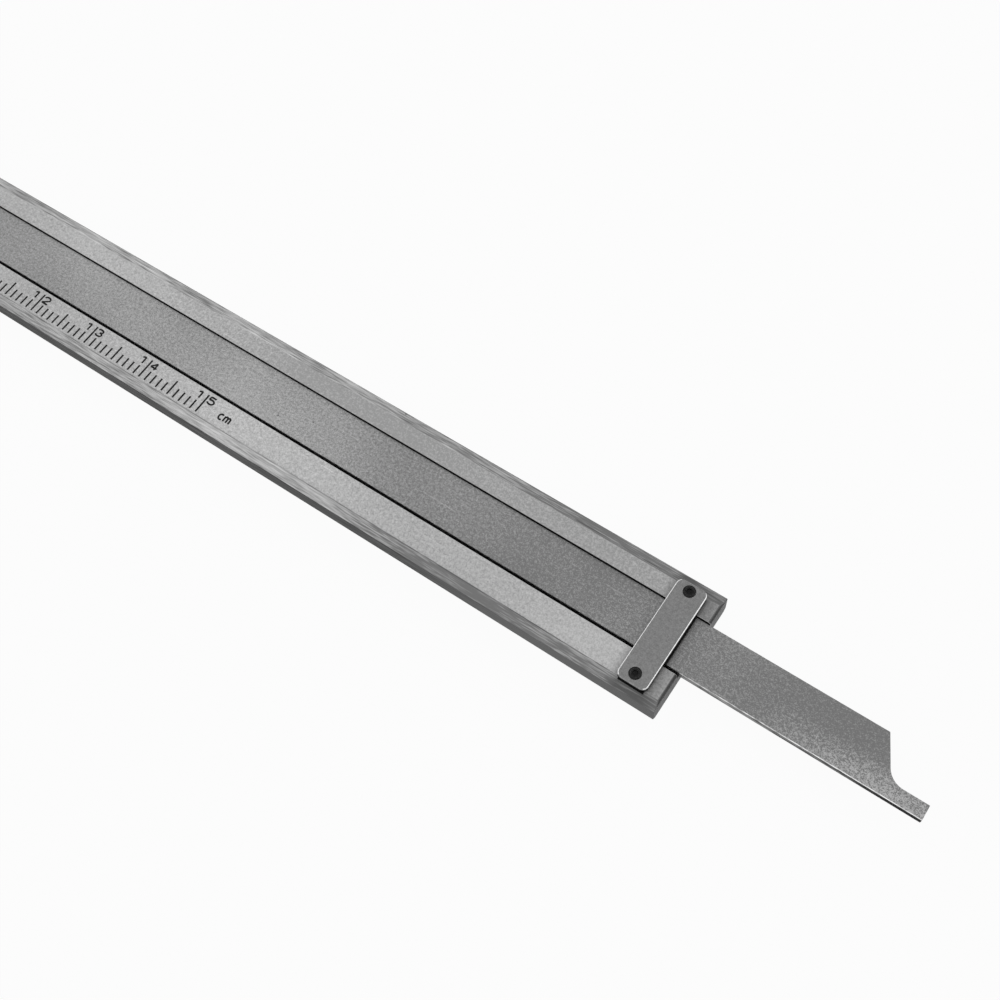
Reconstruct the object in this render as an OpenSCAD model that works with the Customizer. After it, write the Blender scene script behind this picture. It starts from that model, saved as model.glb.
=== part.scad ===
// Dial caliper for 0 to 150 mm. A slider runs along a grooved steel beam, and its movement turns
// a pointer once for every 5 mm, driven by a rack under the depth bar.
// Millimetres. The origin is the corner where the fixed outside jaw's measuring face meets the
// beam's lower edge, at the back. +X runs along the beam, +Y to the inside jaws, +Z out of the dial.

/* [Beam] */
// Width of the beam
beam_w = 16.4; // [15.6:0.1:18]
// Thickness of the beam
beam_t = 3.6; // [3.4:0.1:4.4]
// Distance from the measuring face to the beam's far end
beam_reach = 220.4; // [218:0.1:260]
// Width of the bevel along both long edges of the front
edge_bevel_w = 1.4; // [0.8:0.1:2]
// How far the bevel falls away at the edge
edge_bevel_drop = 0.4; // [0.2:0.1:0.8]
// Chamfer along both long edges of the back
back_chamfer = 0.5; // [0.2:0.1:0.8]
// Chamfer across the front of the far end
end_chamfer = 0.3; // [0.2:0.1:0.8]
// Height of the groove's lower wall above the beam's lower edge
groove_y = 5.1; // [4.9:0.1:5.3]
// Width of the groove that the depth bar lies in
groove_w = 7.4; // [7.2:0.1:8]
// Depth of the groove
groove_d = 1.6; // [1.6:0.1:1.9]
// Where the groove begins, past the measuring face
groove_from = 5; // [3:0.5:15]

/* [Jaws] */
// Opening between the jaws as drawn
jaw_opening = 30; // [10:1:60]
// Full travel of the slider from closed
travel = 150; // [120:1:150]
// Length of the outside jaws below the beam
jaw_depth = 40; // [25:1:50]
// Width of the head at the beam
head_w = 17; // [14:0.5:22]
// Width of the moving jaw at its root
moving_root_w = 15; // [12:0.5:18]
// Width of an outside jaw at its tip
jaw_tip_w = 3; // [1.5:0.1:4]
// Radius of the hollow back edge of an outside jaw
jaw_back_r = 80; // [50:1:150]
// Height that the inside jaws stand above the beam
blade_h = 17; // [13:0.5:22]
// Width of an inside jaw at its root
blade_w = 7; // [5:0.5:7]
// Width of an inside jaw at its tip
blade_tip_w = 1.2; // [0.8:0.1:2]

/* [Slider] */
// Length of the slider
slider_len = 62; // [61:0.5:64]
// Height of the rail below the beam
low_rail = 3.4; // [3.2:0.1:4]
// Height of the rail above the beam, with the gib's room
high_rail = 4.2; // [4:0.1:6]
// Thickness of the slider's front
front_t = 2.5; // [2.3:0.1:3.5]
// Thickness of the back plate
back_t = 1.2; // [1.1:0.1:2]
// Thickness of the gib strip
gib_t = 0.9; // [0.7:0.1:1.1]
// Radius of the lock screw's head
lock_head_r = 2.9; // [2.5:0.1:3]
// Radius of the thumb roller
roller_r = 4; // [3.6:0.1:4.2]
// Width of the thumb roller
roller_w = 3; // [2:0.1:3.1]

/* [Depth bar] */
// Width of the depth bar
depth_bar_w = 6.85; // [6.4:0.05:7]
// Thickness of the depth bar
depth_bar_t = 1.05; // [0.8:0.05:1.15]
// How far the depth bar lies below the beam's front
depth_bar_drop = 0.4; // [0.1:0.05:0.45]
// Gap between the groove's lower wall and the depth bar
depth_bar_gap = 0.45; // [0.1:0.05:0.5]
// Width of the narrow tip
tip_w = 1.9; // [1.4:0.1:2.5]
// Distance from the tip's end back to the start of the shoulder
shoulder_reach = 7.2; // [6.5:0.1:10]
// Slope of the shoulder away from the bar's edge
shoulder_angle = 62.5; // [50:0.5:75]
// Radius where the shoulder runs into the tip
tip_fillet_r = 2.5; // [1:0.1:3]

/* [End plate] */
// Length of the plate along the beam
end_plate_len = 4; // [3.5:0.1:6]
// Width of the plate across the groove
end_plate_w = 14.1; // [13:0.1:15]
// Thickness of the plate
end_plate_t = 0.9; // [0.6:0.1:1.5]
// Corner radius of the plate
end_plate_r = 0.8; // [0.5:0.1:1.5]
// Distance from the beam's end back to the plate
end_plate_back = 1.9; // [1:0.1:3]
// Distance between the plate's two screws
end_screw_spacing = 11.86; // [11:0.02:12.2]
// Radius of the screws' heads
end_screw_r = 0.74; // [0.55:0.01:0.9]

/* [Movement] */
// Pitch of the rack's teeth
rack_pitch = 0.625; // [0.6:0.005:0.65]
// Teeth on the pinion that rolls along the rack
pinion_teeth = 16; // [16:1:17]
// Module of the wheels inside the case
gear_module = 0.2; // [0.19:0.005:0.2]
// Teeth on the wheel above the pinion
drive_teeth = 40; // [38:1:42]
// Teeth on the pinion that carries the pointer
centre_teeth = 20; // [18:1:22]
// Teeth on the wheel that takes up the backlash
takeup_teeth = 60; // [56:1:60]
// Thickness of the wheels
gear_t = 0.5; // [0.4:0.1:0.7]
// Direction of the take-up wheel from the dial's centre
takeup_angle = 40; // [35:1:50]
// Turns of the hairspring
spring_turns = 5; // [4:1:6]

/* [Dial] */
// Distance from the moving jaw's face to the dial's centre
dial_x = 34; // [33:0.5:35]
// Outer radius of the case wall
case_r = 17.25; // [17:0.05:17.5]
// Thickness of the case wall
case_wall = 1.35; // [1.2:0.05:1.5]
// Thickness of the case floor
case_floor = 1.2; // [1.1:0.1:1.5]
// Distance from the case wall's outside to the bezel's ridges
bezel_wall = 1.75; // [1.65:0.05:1.9]
// Ridges around the bezel
bezel_ridges = 90; // [60:2:120]
// Distance from the case wall's outside in to the dial face's edge
dial_inset = 0.65; // [0.55:0.05:0.95]
// Thickness of the crystal
crystal_t = 1.2; // [0.8:0.1:1.5]
// Length of the pointer from its hub
pointer_len = 13.5; // [11:0.5:14]

/* [Hidden] */
$fn = 64;

// Clearances
slide_gap = 0.05;
back_gap = 0.1;
seat_gap = 0.01;
run_gap = 0.02;
cut = 1;

// Levels along Z
bar_top = beam_t - depth_bar_drop;
front_z = beam_t + slide_gap;
front_top = front_z + front_t;
floor_top = front_top + case_floor;
wheel_z = floor_top + 0.4;
spring_z = wheel_z + gear_t + 0.4;
spring_h = 0.6;
bridge_z = spring_z + spring_h + 0.4;
bridge_t = 0.8;
bridge_top = bridge_z + bridge_t;
bridge_head_h = 0.5;
wall_top = bridge_top + 0.3;
shelf_z = wall_top + 0.15;
shelf_t = 0.6;
dial_z = shelf_z + shelf_t;
dial_t = 0.5;
dial_top = dial_z + dial_t;
hub_gap = 0.15;
hub_h = 0.7;
spacer_h = hub_gap + hub_h + 0.45;
crystal_z = dial_top + spacer_h;
bezel_top = crystal_z + crystal_t + 0.2;

// Rack and wheels
rack_module = rack_pitch / PI;
pinion_r = pinion_teeth * rack_module / 2;
drive_r = drive_teeth * gear_module / 2;
centre_r = centre_teeth * gear_module / 2;
takeup_r = takeup_teeth * gear_module / 2;
pressure = 20;
addendum = 0.9;
dedendum = 1.25;
backlash = 0.03;
rack_t = 1;
rack_floor = 0.9;
rack_back = 1.55;
rack_wall_gap = 0.5;
rack_back_y = groove_y + groove_w - rack_wall_gap;
rack_y = rack_back_y - rack_back - dedendum * rack_module;
axle_y = rack_y - pinion_r;
channel_y = axle_y - pinion_r - rack_module - 0.65;
rack_margin = 5;
rack_pin_r = 0.45;
rack_pin_depth = 0.5;
rack_pin_count = 5;
rack_pin_inset = 3;

// Places along X, with the slider as drawn
dial_cx = jaw_opening + dial_x;
pinion_x = dial_cx - drive_r - centre_r;
takeup_at = about_dial(centre_r + takeup_r, takeup_angle);
pinion_low_x = pinion_x - jaw_opening;
rack_from = pinion_low_x - rack_margin;
rack_teeth = ceil((travel + 2 * rack_margin) / rack_pitch);
rack_len = rack_teeth * rack_pitch;
channel_from = rack_from - 1.5;
channel_len = rack_len + 3.5;
rack_pin_y = rack_back_y - rack_back / 2;
rack_pin_step = (rack_len - 2 * rack_pin_inset) / (rack_pin_count - 1);
rack_pin_at = [for (i = [0 : rack_pin_count - 1])
    [rack_from + rack_pin_inset + i * rack_pin_step, rack_pin_y]];

// Slider
slider_corner_r = 1.5;
rail_set_back = 0.3;
slider_low = -low_rail;
slider_high = beam_w + high_rail;
gib_room = gib_t + 2 * slide_gap;
gib_y = beam_w + slide_gap;
high_wall_y = beam_w + gib_room;
blade_side_gap = 0.1;
blade_half = (beam_t - blade_side_gap) / 2;
blade_top = blade_half + blade_side_gap;
blade_room_x = blade_w + 1;
low_rail_end = 51.5;
roller_x = 57;
roller_y = -roller_r - slide_gap;
roller_z = (beam_t - roller_w) / 2;
roller_pin_r = 1;
roller_pin_top = front_top - 0.8;
ear_r = 2.6;
mid_z = beam_t / 2;
gib_from = blade_room_x + 0.5;
gib_end_gap = 1;
set_screw_r = 0.95;
set_screw_x = [23, 42];
lock_x = 53.5;
lock_r = 1.2;
lock_tip_y = gib_y + gib_t + 0.07;
lock_collar_r = 1.9;
lock_collar_h = 0.6;
lock_head_h = 4.6;
back_screw_r = 0.75;
back_screw_head_r = 1.3;
back_screw_head_h = 0.6;
back_screw_len = 3.2;
back_screw_x = [17, 48];
back_screw_y = [slider_low + (low_rail - slide_gap) / 2, (high_wall_y + slider_high) / 2];

// Depth bar
bar_y = groove_y + depth_bar_gap;
bar_z = bar_top - depth_bar_t;
bar_start = 18;
bar_from = jaw_opening + bar_start;
pad_margin = 2;
pad_from = bar_start + pad_margin;
tip_x = beam_reach + jaw_opening;
arbor_hole_r = 1.3;
depth_screw_x = [41, 49];
depth_screw_r = 0.75;
depth_screw_head_r = 1.4;
depth_head_z = front_top - 0.9;

// End plate and its screws
plate_x = beam_reach - end_plate_back - end_plate_len;
plate_y = groove_y + groove_w / 2 - end_plate_w / 2 - 0.65;
plate_screw_y = groove_y + groove_w / 2 - 0.44;
end_screw_at = [for (side = [-1, 1])
    [plate_x + end_plate_len / 2 - 0.1, plate_screw_y + side * end_screw_spacing / 2]];
end_screw_shank_r = 0.45;
end_screw_sunk = 0.3;
end_screw_proud = 0.12;
end_screw_len = 1.4;
end_socket_r = 0.3;

// Case
case_inner_r = case_r - case_wall;
bezel_r = case_r + bezel_wall;
dial_r = case_r - dial_inset;
bridge_r = case_inner_r - 0.7;
flange_r = bezel_r - 0.4;
flange_t = case_floor + 0.2;
ring_z = floor_top + 1.8;
ring_h = 0.5;
ring_depth = 0.4;
case_screw_r = 0.75;
case_screw_head_r = 1.3;
case_screw_head_h = 0.8;
case_screw_len = 2;
case_screw_edge = 0.45;
case_screw_angle = 32;
case_screw_at = [for (a = [case_screw_angle, 180 - case_screw_angle,
                           180 + case_screw_angle, 360 - case_screw_angle])
    about_dial(case_inner_r - case_screw_edge - case_screw_head_r, a)];
pillar_r = 1.1;
pillar_screw_r = 0.55;
pillar_screw_len = 1.8;
pillar_head_r = 1;
pillar_edge = 0.75;
pillar_at = [for (a = [100, 167, 280]) about_dial(bridge_r - pillar_edge - pillar_r, a)];
bridge_window_r = bridge_r / 4;
bridge_window_at = [for (a = [133, 239, 334]) about_dial(bridge_r - bridge_window_r - 0.6, a)];
bush_r = 2.4;
pinion_arbor_r = 1;
takeup_arbor_r = 0.7;
centre_arbor_r = 0.6;
pivot_r = 0.4;
pivot_len = 0.7;

// The centre pinion has a tooth towards the drive wheel, which has a gap facing it
centre_start = 180;

// Angle of the pinion's tooth nearest to the line to the take-up wheel
takeup_phase = takeup_angle - centre_start;
takeup_offset = (takeup_phase - round(takeup_phase * centre_teeth / 360) * 360 / centre_teeth)
    * centre_teeth / takeup_teeth;

// Hairspring, its collet and its stud
collet_r = 1.2;
spring_in_r = collet_r + 0.15;
spring_out_r = 4.4;
spring_w = 0.12;
spring_step = 15;
stud_r = 0.4;
spring_stud_at = takeup_at + [0, spring_out_r + spring_w / 2 + stud_r];

// Clamp of the bezel
clamp_angle = 135;
clamp_r = 0.9;
clamp_lug_r = 2.6;
clamp_reach = bezel_r + clamp_lug_r;
clamp_neck_w = 4.4;
clamp_shoe_w = 4;
clamp_lug_z = front_top + 0.15;
clamp_lug_t = flange_t - 0.25;
clamp_shoe_t = 0.8;
clamp_head_r = 2.3;
clamp_head_h = 2.6;
bezel_foot_z = front_top + flange_t + slide_gap;
bezel_foot_h = 0.8;
clamp_at = about_dial(clamp_reach, clamp_angle);

// Place at radius r from the dial's axis, in the direction a
function about_dial(r, a) = [dial_cx, axle_y] + r * [cos(a), sin(a)];

// Circle centre for an arc of radius r from a to b, on the left of the way from a to b
function arc_centre(a, b, r) =
    let (mid = (a + b) / 2, along = b - a, half = norm(along) / 2)
    mid + sqrt(r * r - half * half) * [-along[1], along[0]] / norm(along);

// Involute function, in degrees
function inv(a) = tan(a) * 180 / PI - a;

// Half the angle of a tooth at radius r, in degrees
function half_tooth(r, pitch_r, teeth) =
    let (base_r = pitch_r * cos(pressure))
    90 / teeth - backlash / 4 / pitch_r * 180 / PI + inv(pressure)
        - (r > base_r ? inv(acos(base_r / r)) : 0);

// Outline of a wheel with a tooth centred on the angle start
function wheel_outline(teeth, m, start) =
    let (
        pitch_r = teeth * m / 2,
        radii = [pitch_r - dedendum * m, max(pitch_r * cos(pressure), pitch_r - 0.9 * m),
                 pitch_r, pitch_r + addendum * m],
        last = len(radii) - 1
    )
    [for (i = [0 : teeth - 1], side = [-1, 1], k = [0 : last])
        let (
            r = radii[side < 0 ? k : last - k],
            a = start + i * 360 / teeth + side * half_tooth(r, pitch_r, teeth)
        )
        r * [cos(a), sin(a)]];

// Outline of a disc with straight ridges, r over the ridges
function ridged(r, ridges, depth) =
    [for (i = [0 : 2 * ridges - 1])
        (r - (i % 2) * depth) * [cos(i * 180 / ridges), sin(i * 180 / ridges)]];

// A block that begins at the plane through p and lies on the side that n points to
module beyond(p, n, size = 60)
    translate(p)
        rotate([0, acos(n[2] / norm(n)), atan2(n[1], n[0])])
            translate([-size / 2, -size / 2, 0])
                cube(size);

// A flat rectangle with round corners, from the origin
module rounded_square(size, r) {
    translate([r, 0]) square([size[0] - 2 * r, size[1]]);
    translate([0, r]) square([size[0], size[1] - 2 * r]);
    for (x = [r, size[0] - r], y = [r, size[1] - r]) translate([x, y]) circle(r);
}

// A cylinder from z0 to z1 at the point at
module post(at, r, z0, z1) translate([at[0], at[1], z0]) cylinder(r = r, h = z1 - z0);

// A screw's slot across the top of its head, at the point at
module slot(at, width, depth, length, top, turn = 0)
    translate([at[0], at[1], top - depth])
        rotate(turn)
            translate([-length / 2, -width / 2, 0])
                cube([length, width, depth + cut]);

// An outside jaw of the fixed side: its measuring face is at X = 0 and its body lies on -X
module outside_jaw(root_w) {
    root_y = -5;
    back_from = [-jaw_tip_w, -jaw_depth];
    back_to = [-root_w, root_y];
    knife_y = -0.35 * jaw_depth;
    knife_w = 6.5;
    knife_drop = 1.1;
    difference() {
        linear_extrude(beam_t)
            difference() {
                translate([-root_w, -jaw_depth]) square([root_w, jaw_depth]);
                translate(arc_centre(back_from, back_to, jaw_back_r)) circle(jaw_back_r, $fn = 160);
                // the corner that the hollow's circle doesn't reach
                translate([-root_w - cut, -jaw_depth - cut])
                    square([root_w + cut - jaw_tip_w - 5, 12 + cut]);
            }
        for (side = [0, 1])
            translate([0, 0, mid_z]) mirror([0, 0, side]) translate([0, 0, -mid_z])
                beyond(
                    [0, knife_y, beam_t],
                    cross([-knife_w, -jaw_depth - knife_y, 0], [0, -jaw_depth - knife_y, -knife_drop])
                );
    }
}

// An inside jaw of the fixed side, half as thick as the beam and lying at its back
module inside_jaw() {
    step = 4.2;
    lean = 10;
    knife_w = 2.4;
    knife_drop = 1.1;
    difference() {
        linear_extrude(blade_half)
            polygon([
                [-lean, 0], [-lean + 1.2, 2.6], [-1.2, step - 0.8], [0, step], [0, blade_h],
                [blade_tip_w, blade_h], [blade_w, step], [blade_w, 0]
            ]);
        translate([0, step - 0.6, 0])
            beyond([knife_w, blade_h / 2, 0], [-knife_drop, 0, -knife_w], 2 * blade_h);
    }
}

module beam() {
    bevel_z = beam_t - edge_bevel_drop;
    land_from = 1;
    corner_r = 4;
    color([0.72, 0.73, 0.74])
        difference() {
            union() {
                translate([-head_w, 0, 0]) cube([head_w + beam_reach, beam_w, beam_t]);
                outside_jaw(head_w);
                translate([0, beam_w, 0]) inside_jaw();
            }
            // bevels along the front's edges, chamfers along the back's
            intersection() {
                translate([land_from, -cut, -cut]) cube([beam_reach, beam_w + 2 * cut, beam_t + 2 * cut]);
                for (side = [-1, 1]) {
                    y = side < 0 ? 0 : beam_w;
                    beyond([beam_reach / 2, y, bevel_z], [0, side * edge_bevel_drop, edge_bevel_w],
                           2 * beam_reach);
                    beyond([beam_reach / 2, y, back_chamfer], [0, side, -1], 2 * beam_reach);
                }
            }
            beyond([beam_reach, beam_w / 2, beam_t - end_chamfer], [1, 0, 1]);
            // round corner at the head's back
            translate([-head_w, beam_w, 0]) difference() {
                translate([-cut, -corner_r, -cut]) cube([corner_r + cut, corner_r + cut, beam_t + 2 * cut]);
                translate([corner_r, -corner_r, -2 * cut]) cylinder(r = corner_r, h = beam_t + 4 * cut);
            }
            // groove, and the deeper channel for the rack
            translate([groove_from, groove_y, beam_t - groove_d])
                cube([beam_reach, groove_w, groove_d + cut]);
            translate([channel_from, channel_y, rack_floor])
                cube([channel_len, rack_back_y - channel_y, beam_t]);
            rack_pin_holes();
            for (at = end_screw_at) post(at, end_screw_shank_r, beam_t - end_screw_len, beam_t + cut);
        }
}

module rack_pin_holes()
    for (at = rack_pin_at) post(at, rack_pin_r, rack_floor - rack_pin_depth, rack_floor + rack_t + cut);

module rack() {
    m = rack_module;
    half_pitch = rack_pitch / 4 - backlash / 4;
    half_tip = half_pitch - addendum * m * tan(pressure);
    half_root = half_pitch + dedendum * m * tan(pressure);
    tip_y = rack_y - addendum * m;
    root_y = rack_y + dedendum * m;
    first = pinion_x + rack_pitch * (0.5 + floor((rack_from - pinion_x) / rack_pitch) + 1);
    color([0.66, 0.67, 0.68])
        translate([0, 0, rack_floor])
            difference() {
                linear_extrude(rack_t)
                    polygon(concat(
                        [[rack_from + rack_len, rack_back_y], [rack_from, rack_back_y]],
                        [for (i = [0 : rack_teeth - 2], k = [0 : 3])
                            let (x = first + i * rack_pitch)
                            [x + [-half_root, -half_tip, half_tip, half_root][k],
                             k == 1 || k == 2 ? tip_y : root_y]]
                    ));
                translate([0, 0, -rack_floor]) rack_pin_holes();
            }
}

module rack_pins() {
    color([0.6, 0.6, 0.6])
        for (at = rack_pin_at)
            post(at, rack_pin_r - seat_gap, rack_floor - rack_pin_depth, rack_floor + rack_t);
}

module end_plate() {
    roll_w = 0.25;
    roll_h = 0.2;
    plate_top = beam_t + end_plate_t;
    size = [end_plate_len, end_plate_w];
    color([0.62, 0.63, 0.64])
        difference() {
            union() {
                translate([plate_x, plate_y, beam_t])
                    linear_extrude(end_plate_t - roll_h) rounded_square(size, end_plate_r);
                translate([plate_x + roll_w, plate_y + roll_w, beam_t])
                    linear_extrude(end_plate_t)
                        rounded_square(size - 2 * [roll_w, roll_w], end_plate_r - roll_w);
            }
            for (at = end_screw_at) {
                post(at, end_screw_shank_r + run_gap, beam_t - cut, plate_top + cut);
                post(at, end_screw_r + run_gap, plate_top - end_screw_sunk, plate_top + cut);
            }
        }
}

module end_screws() {
    head_z = beam_t + end_plate_t - end_screw_sunk;
    head_top = beam_t + end_plate_t + end_screw_proud;
    color([0.12, 0.12, 0.13])
        for (at = end_screw_at)
            difference() {
                union() {
                    post(at, end_screw_shank_r - seat_gap, beam_t - end_screw_len, head_top - 0.1);
                    post(at, end_screw_r, head_z, head_top);
                }
                post(at, end_socket_r, head_top - 0.25, head_top + cut);
            }
}

// Everything on the slider is drawn from the moving jaw's measuring face
module on_slider() translate([jaw_opening, 0, 0]) children();

module roller_ear() {
    translate([roller_x, roller_y]) circle(ear_r);
    translate([roller_x - ear_r, roller_y]) square([2 * ear_r, slider_low - roller_y + 0.5]);
}

// Outline of the slider's plates, square at the reading end and round at the other
module slider_outline(from) {
    translate([from, slider_low])
        rounded_square([slider_len - from, slider_high - slider_low], slider_corner_r);
    translate([from, slider_low]) square([2 * slider_corner_r, slider_high - slider_low]);
    roller_ear();
}

module slider_frame() {
    depth = front_top + back_gap;
    read_bevel = 2.2;
    read_side_gap = 0.3;
    relief_r = 0.7;
    pad_side = 0.4;
    color([0.7, 0.71, 0.72])
        difference() {
            on_slider() difference() {
                union() {
                    translate([0, 0, front_z]) linear_extrude(front_t) slider_outline(rail_set_back);
                    translate([rail_set_back, slider_low, -back_gap])
                        cube([low_rail_end - rail_set_back, low_rail - slide_gap, depth]);
                    translate([rail_set_back, high_wall_y, -back_gap])
                        cube([slider_len - rail_set_back, slider_high - high_wall_y, depth]);
                    // tongue that reaches the jaw's plane, where the scale is read
                    translate([0, read_side_gap, front_z]) cube([2, beam_w - 2 * read_side_gap, front_t]);
                    mirror([1, 0, 0]) outside_jaw(moving_root_w);
                    translate([0, beam_w + slide_gap, beam_t])
                        mirror([0, 0, 1]) mirror([1, 0, 0]) inside_jaw();
                    // the blade's root rises to the slider's front
                    translate([0, beam_w + slide_gap, blade_top])
                        cube([gib_from - slide_gap, gib_room + slide_gap, front_top - blade_top]);
                    // pad that the depth bar hangs from
                    translate([pad_from, bar_y + pad_side, bar_top])
                        cube([slider_len - pad_margin - pad_from, depth_bar_w - 2 * pad_side,
                              front_z - bar_top + 0.5]);
                }
                // room for the fixed inside jaw when closed
                translate([-cut, beam_w, -cut])
                    cube([blade_room_x + cut, high_rail + cut, blade_top + cut]);
                // bevel at the reading edge
                intersection() {
                    beyond([0, beam_w / 2, front_z + 0.5], [-(front_t - 0.5), 0, read_bevel]);
                    translate([-cut, 0, 0]) cube([read_bevel + 2 * cut, beam_w, front_top + cut]);
                }
                // relief where the moving jaw meets the beam
                translate([0, -relief_r, -cut]) cylinder(r = relief_r, h = beam_t + slide_gap + cut);
                // threads for the gib's screws and the lock screw
                for (x = set_screw_x) y_bore(x, set_screw_r + seat_gap);
                y_bore(lock_x, lock_r + run_gap);
                // holes up from the back plate
                for (x = back_screw_x, y = back_screw_y)
                    post([x, y], back_screw_r + seat_gap, -cut, back_screw_len - back_gap - back_t);
                post([roller_x, roller_y], roller_pin_r + seat_gap, 0, roller_pin_top);
                for (x = depth_screw_x) {
                    post([x, axle_y], depth_screw_r + seat_gap, 0, front_top + cut);
                    post([x, axle_y], depth_screw_head_r + run_gap, depth_head_z, front_top + cut);
                }
            }
            post([pinion_x, axle_y], bush_r + seat_gap, bar_top - cut, front_top + cut);
            for (at = case_screw_at)
                post(at, case_screw_r + seat_gap, front_top - case_screw_len, front_top + cut);
        }
}

// A bore along Y through the slider's upper rail at x
module y_bore(x, r)
    translate([x, high_wall_y - cut, mid_z]) rotate([-90, 0, 0]) cylinder(r = r, h = high_rail + 2 * cut);

module back_plate() {
    color([0.68, 0.69, 0.7])
        on_slider() difference() {
            translate([0, 0, -back_gap - back_t]) linear_extrude(back_t) slider_outline(blade_room_x);
            for (x = back_screw_x, y = back_screw_y) {
                post([x, y], back_screw_r + run_gap, -back_gap - back_t - cut, 0);
                post([x, y], back_screw_head_r + run_gap, -back_gap - back_t - cut,
                     -back_gap - back_t + back_screw_head_h);
            }
            post([roller_x, roller_y], roller_pin_r + seat_gap, -back_gap - back_t - cut, 0);
        }
}

module back_screws() {
    back_z = -back_gap - back_t;
    color([0.5, 0.5, 0.51])
        on_slider() for (x = back_screw_x, y = back_screw_y)
            difference() {
                union() {
                    post([x, y], back_screw_r, back_z + 0.05, back_z + back_screw_len);
                    post([x, y], back_screw_head_r, back_z + 0.05, back_z + back_screw_head_h);
                }
                translate([x, y, back_z]) rotate(30) translate([-2, -0.2, -cut]) cube([4, 0.4, cut + 0.3]);
            }
}

module gib() {
    color([0.75, 0.6, 0.3])
        on_slider() translate([gib_from, gib_y, slide_gap])
            cube([slider_len - gib_from - gib_end_gap, gib_t, beam_t - 2 * slide_gap]);
}

module gib_screws() {
    sunk = 0.4;
    length = slider_high - gib_y - gib_t - sunk;
    color([0.15, 0.15, 0.16])
        on_slider() for (x = set_screw_x)
            translate([x, gib_y + gib_t, mid_z]) rotate([-90, 0, 0])
                difference() {
                    cylinder(r = set_screw_r, h = length);
                    slot([0, 0], 0.3, 0.5, 3, length);
                }
}

module depth_bar() {
    low = bar_y;
    high = bar_y + depth_bar_w;
    tip_high = bar_y + tip_w;
    // the shoulder's line reaches the tip's upper edge here
    foot_x = tip_x - shoulder_reach + (high - tip_high) / tan(shoulder_angle);
    run = tip_fillet_r * tan(shoulder_angle / 2);
    fillet_at = [foot_x + run, tip_high + tip_fillet_r];
    color([0.5, 0.51, 0.52])
        difference() {
            translate([0, 0, bar_z]) linear_extrude(depth_bar_t) {
                polygon([
                    [bar_from, low], [tip_x, low], [tip_x, tip_high], [foot_x, tip_high],
                    [tip_x - shoulder_reach, high], [bar_from, high]
                ]);
                difference() {
                    polygon([
                        [foot_x, tip_high - 0.1], [foot_x + run, tip_high - 0.1], fillet_at,
                        [foot_x, tip_high] + run * [-cos(shoulder_angle), sin(shoulder_angle)],
                        [foot_x - 0.1, tip_high]
                    ]);
                    translate(fillet_at) circle(tip_fillet_r);
                }
            }
            post([pinion_x, axle_y], arbor_hole_r, bar_z - cut, bar_top + cut);
            for (x = depth_screw_x)
                post([jaw_opening + x, axle_y], depth_screw_r + seat_gap, bar_z - cut, bar_top + cut);
        }
}

module depth_screws() {
    color([0.45, 0.45, 0.46])
        on_slider() for (x = depth_screw_x)
            difference() {
                union() {
                    post([x, axle_y], depth_screw_r, bar_z + 0.05, front_top - 0.1);
                    post([x, axle_y], depth_screw_head_r, depth_head_z, front_top - 0.05);
                }
                slot([x, axle_y], 0.35, 0.4, 4, front_top - 0.05, 20);
            }
}

module roller_pin() {
    color([0.55, 0.55, 0.56])
        on_slider() post([roller_x, roller_y], roller_pin_r, -back_gap - back_t, roller_pin_top);
}

module thumb_roller() {
    color([0.6, 0.61, 0.62])
        on_slider() translate([roller_x, roller_y, roller_z]) difference() {
            linear_extrude(roller_w) polygon(ridged(roller_r, 36, 0.22));
            translate([0, 0, -cut]) cylinder(r = roller_pin_r + run_gap, h = roller_w + 2 * cut);
            for (z = [-cut, roller_w - 0.3])
                translate([0, 0, z]) difference() {
                    cylinder(r = roller_r - 0.9, h = 0.3 + (z < 0 ? cut : 0) + (z > 0 ? cut : 0));
                    cylinder(r = roller_pin_r + 0.7, h = 0.3 + 2 * cut);
                }
        }
}

module lock_screw() {
    collar_y = slider_high + 0.1;
    color([0.62, 0.63, 0.64])
        on_slider() translate([lock_x, 0, mid_z]) rotate([-90, 0, 0]) {
            translate([0, 0, lock_tip_y]) cylinder(r = lock_r, h = collar_y - lock_tip_y + 0.2);
            translate([0, 0, collar_y]) cylinder(r = lock_collar_r, h = lock_collar_h);
            translate([0, 0, collar_y + lock_collar_h]) {
                linear_extrude(lock_head_h) polygon(ridged(lock_head_r, 30, 0.2));
                translate([0, 0, lock_head_h])
                    cylinder(r1 = lock_head_r - 0.25, r2 = lock_head_r - 0.7, h = 0.45);
            }
        }
}

// Shapes about the dial's axis
module on_dial() translate([dial_cx, axle_y, 0]) children();

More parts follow.
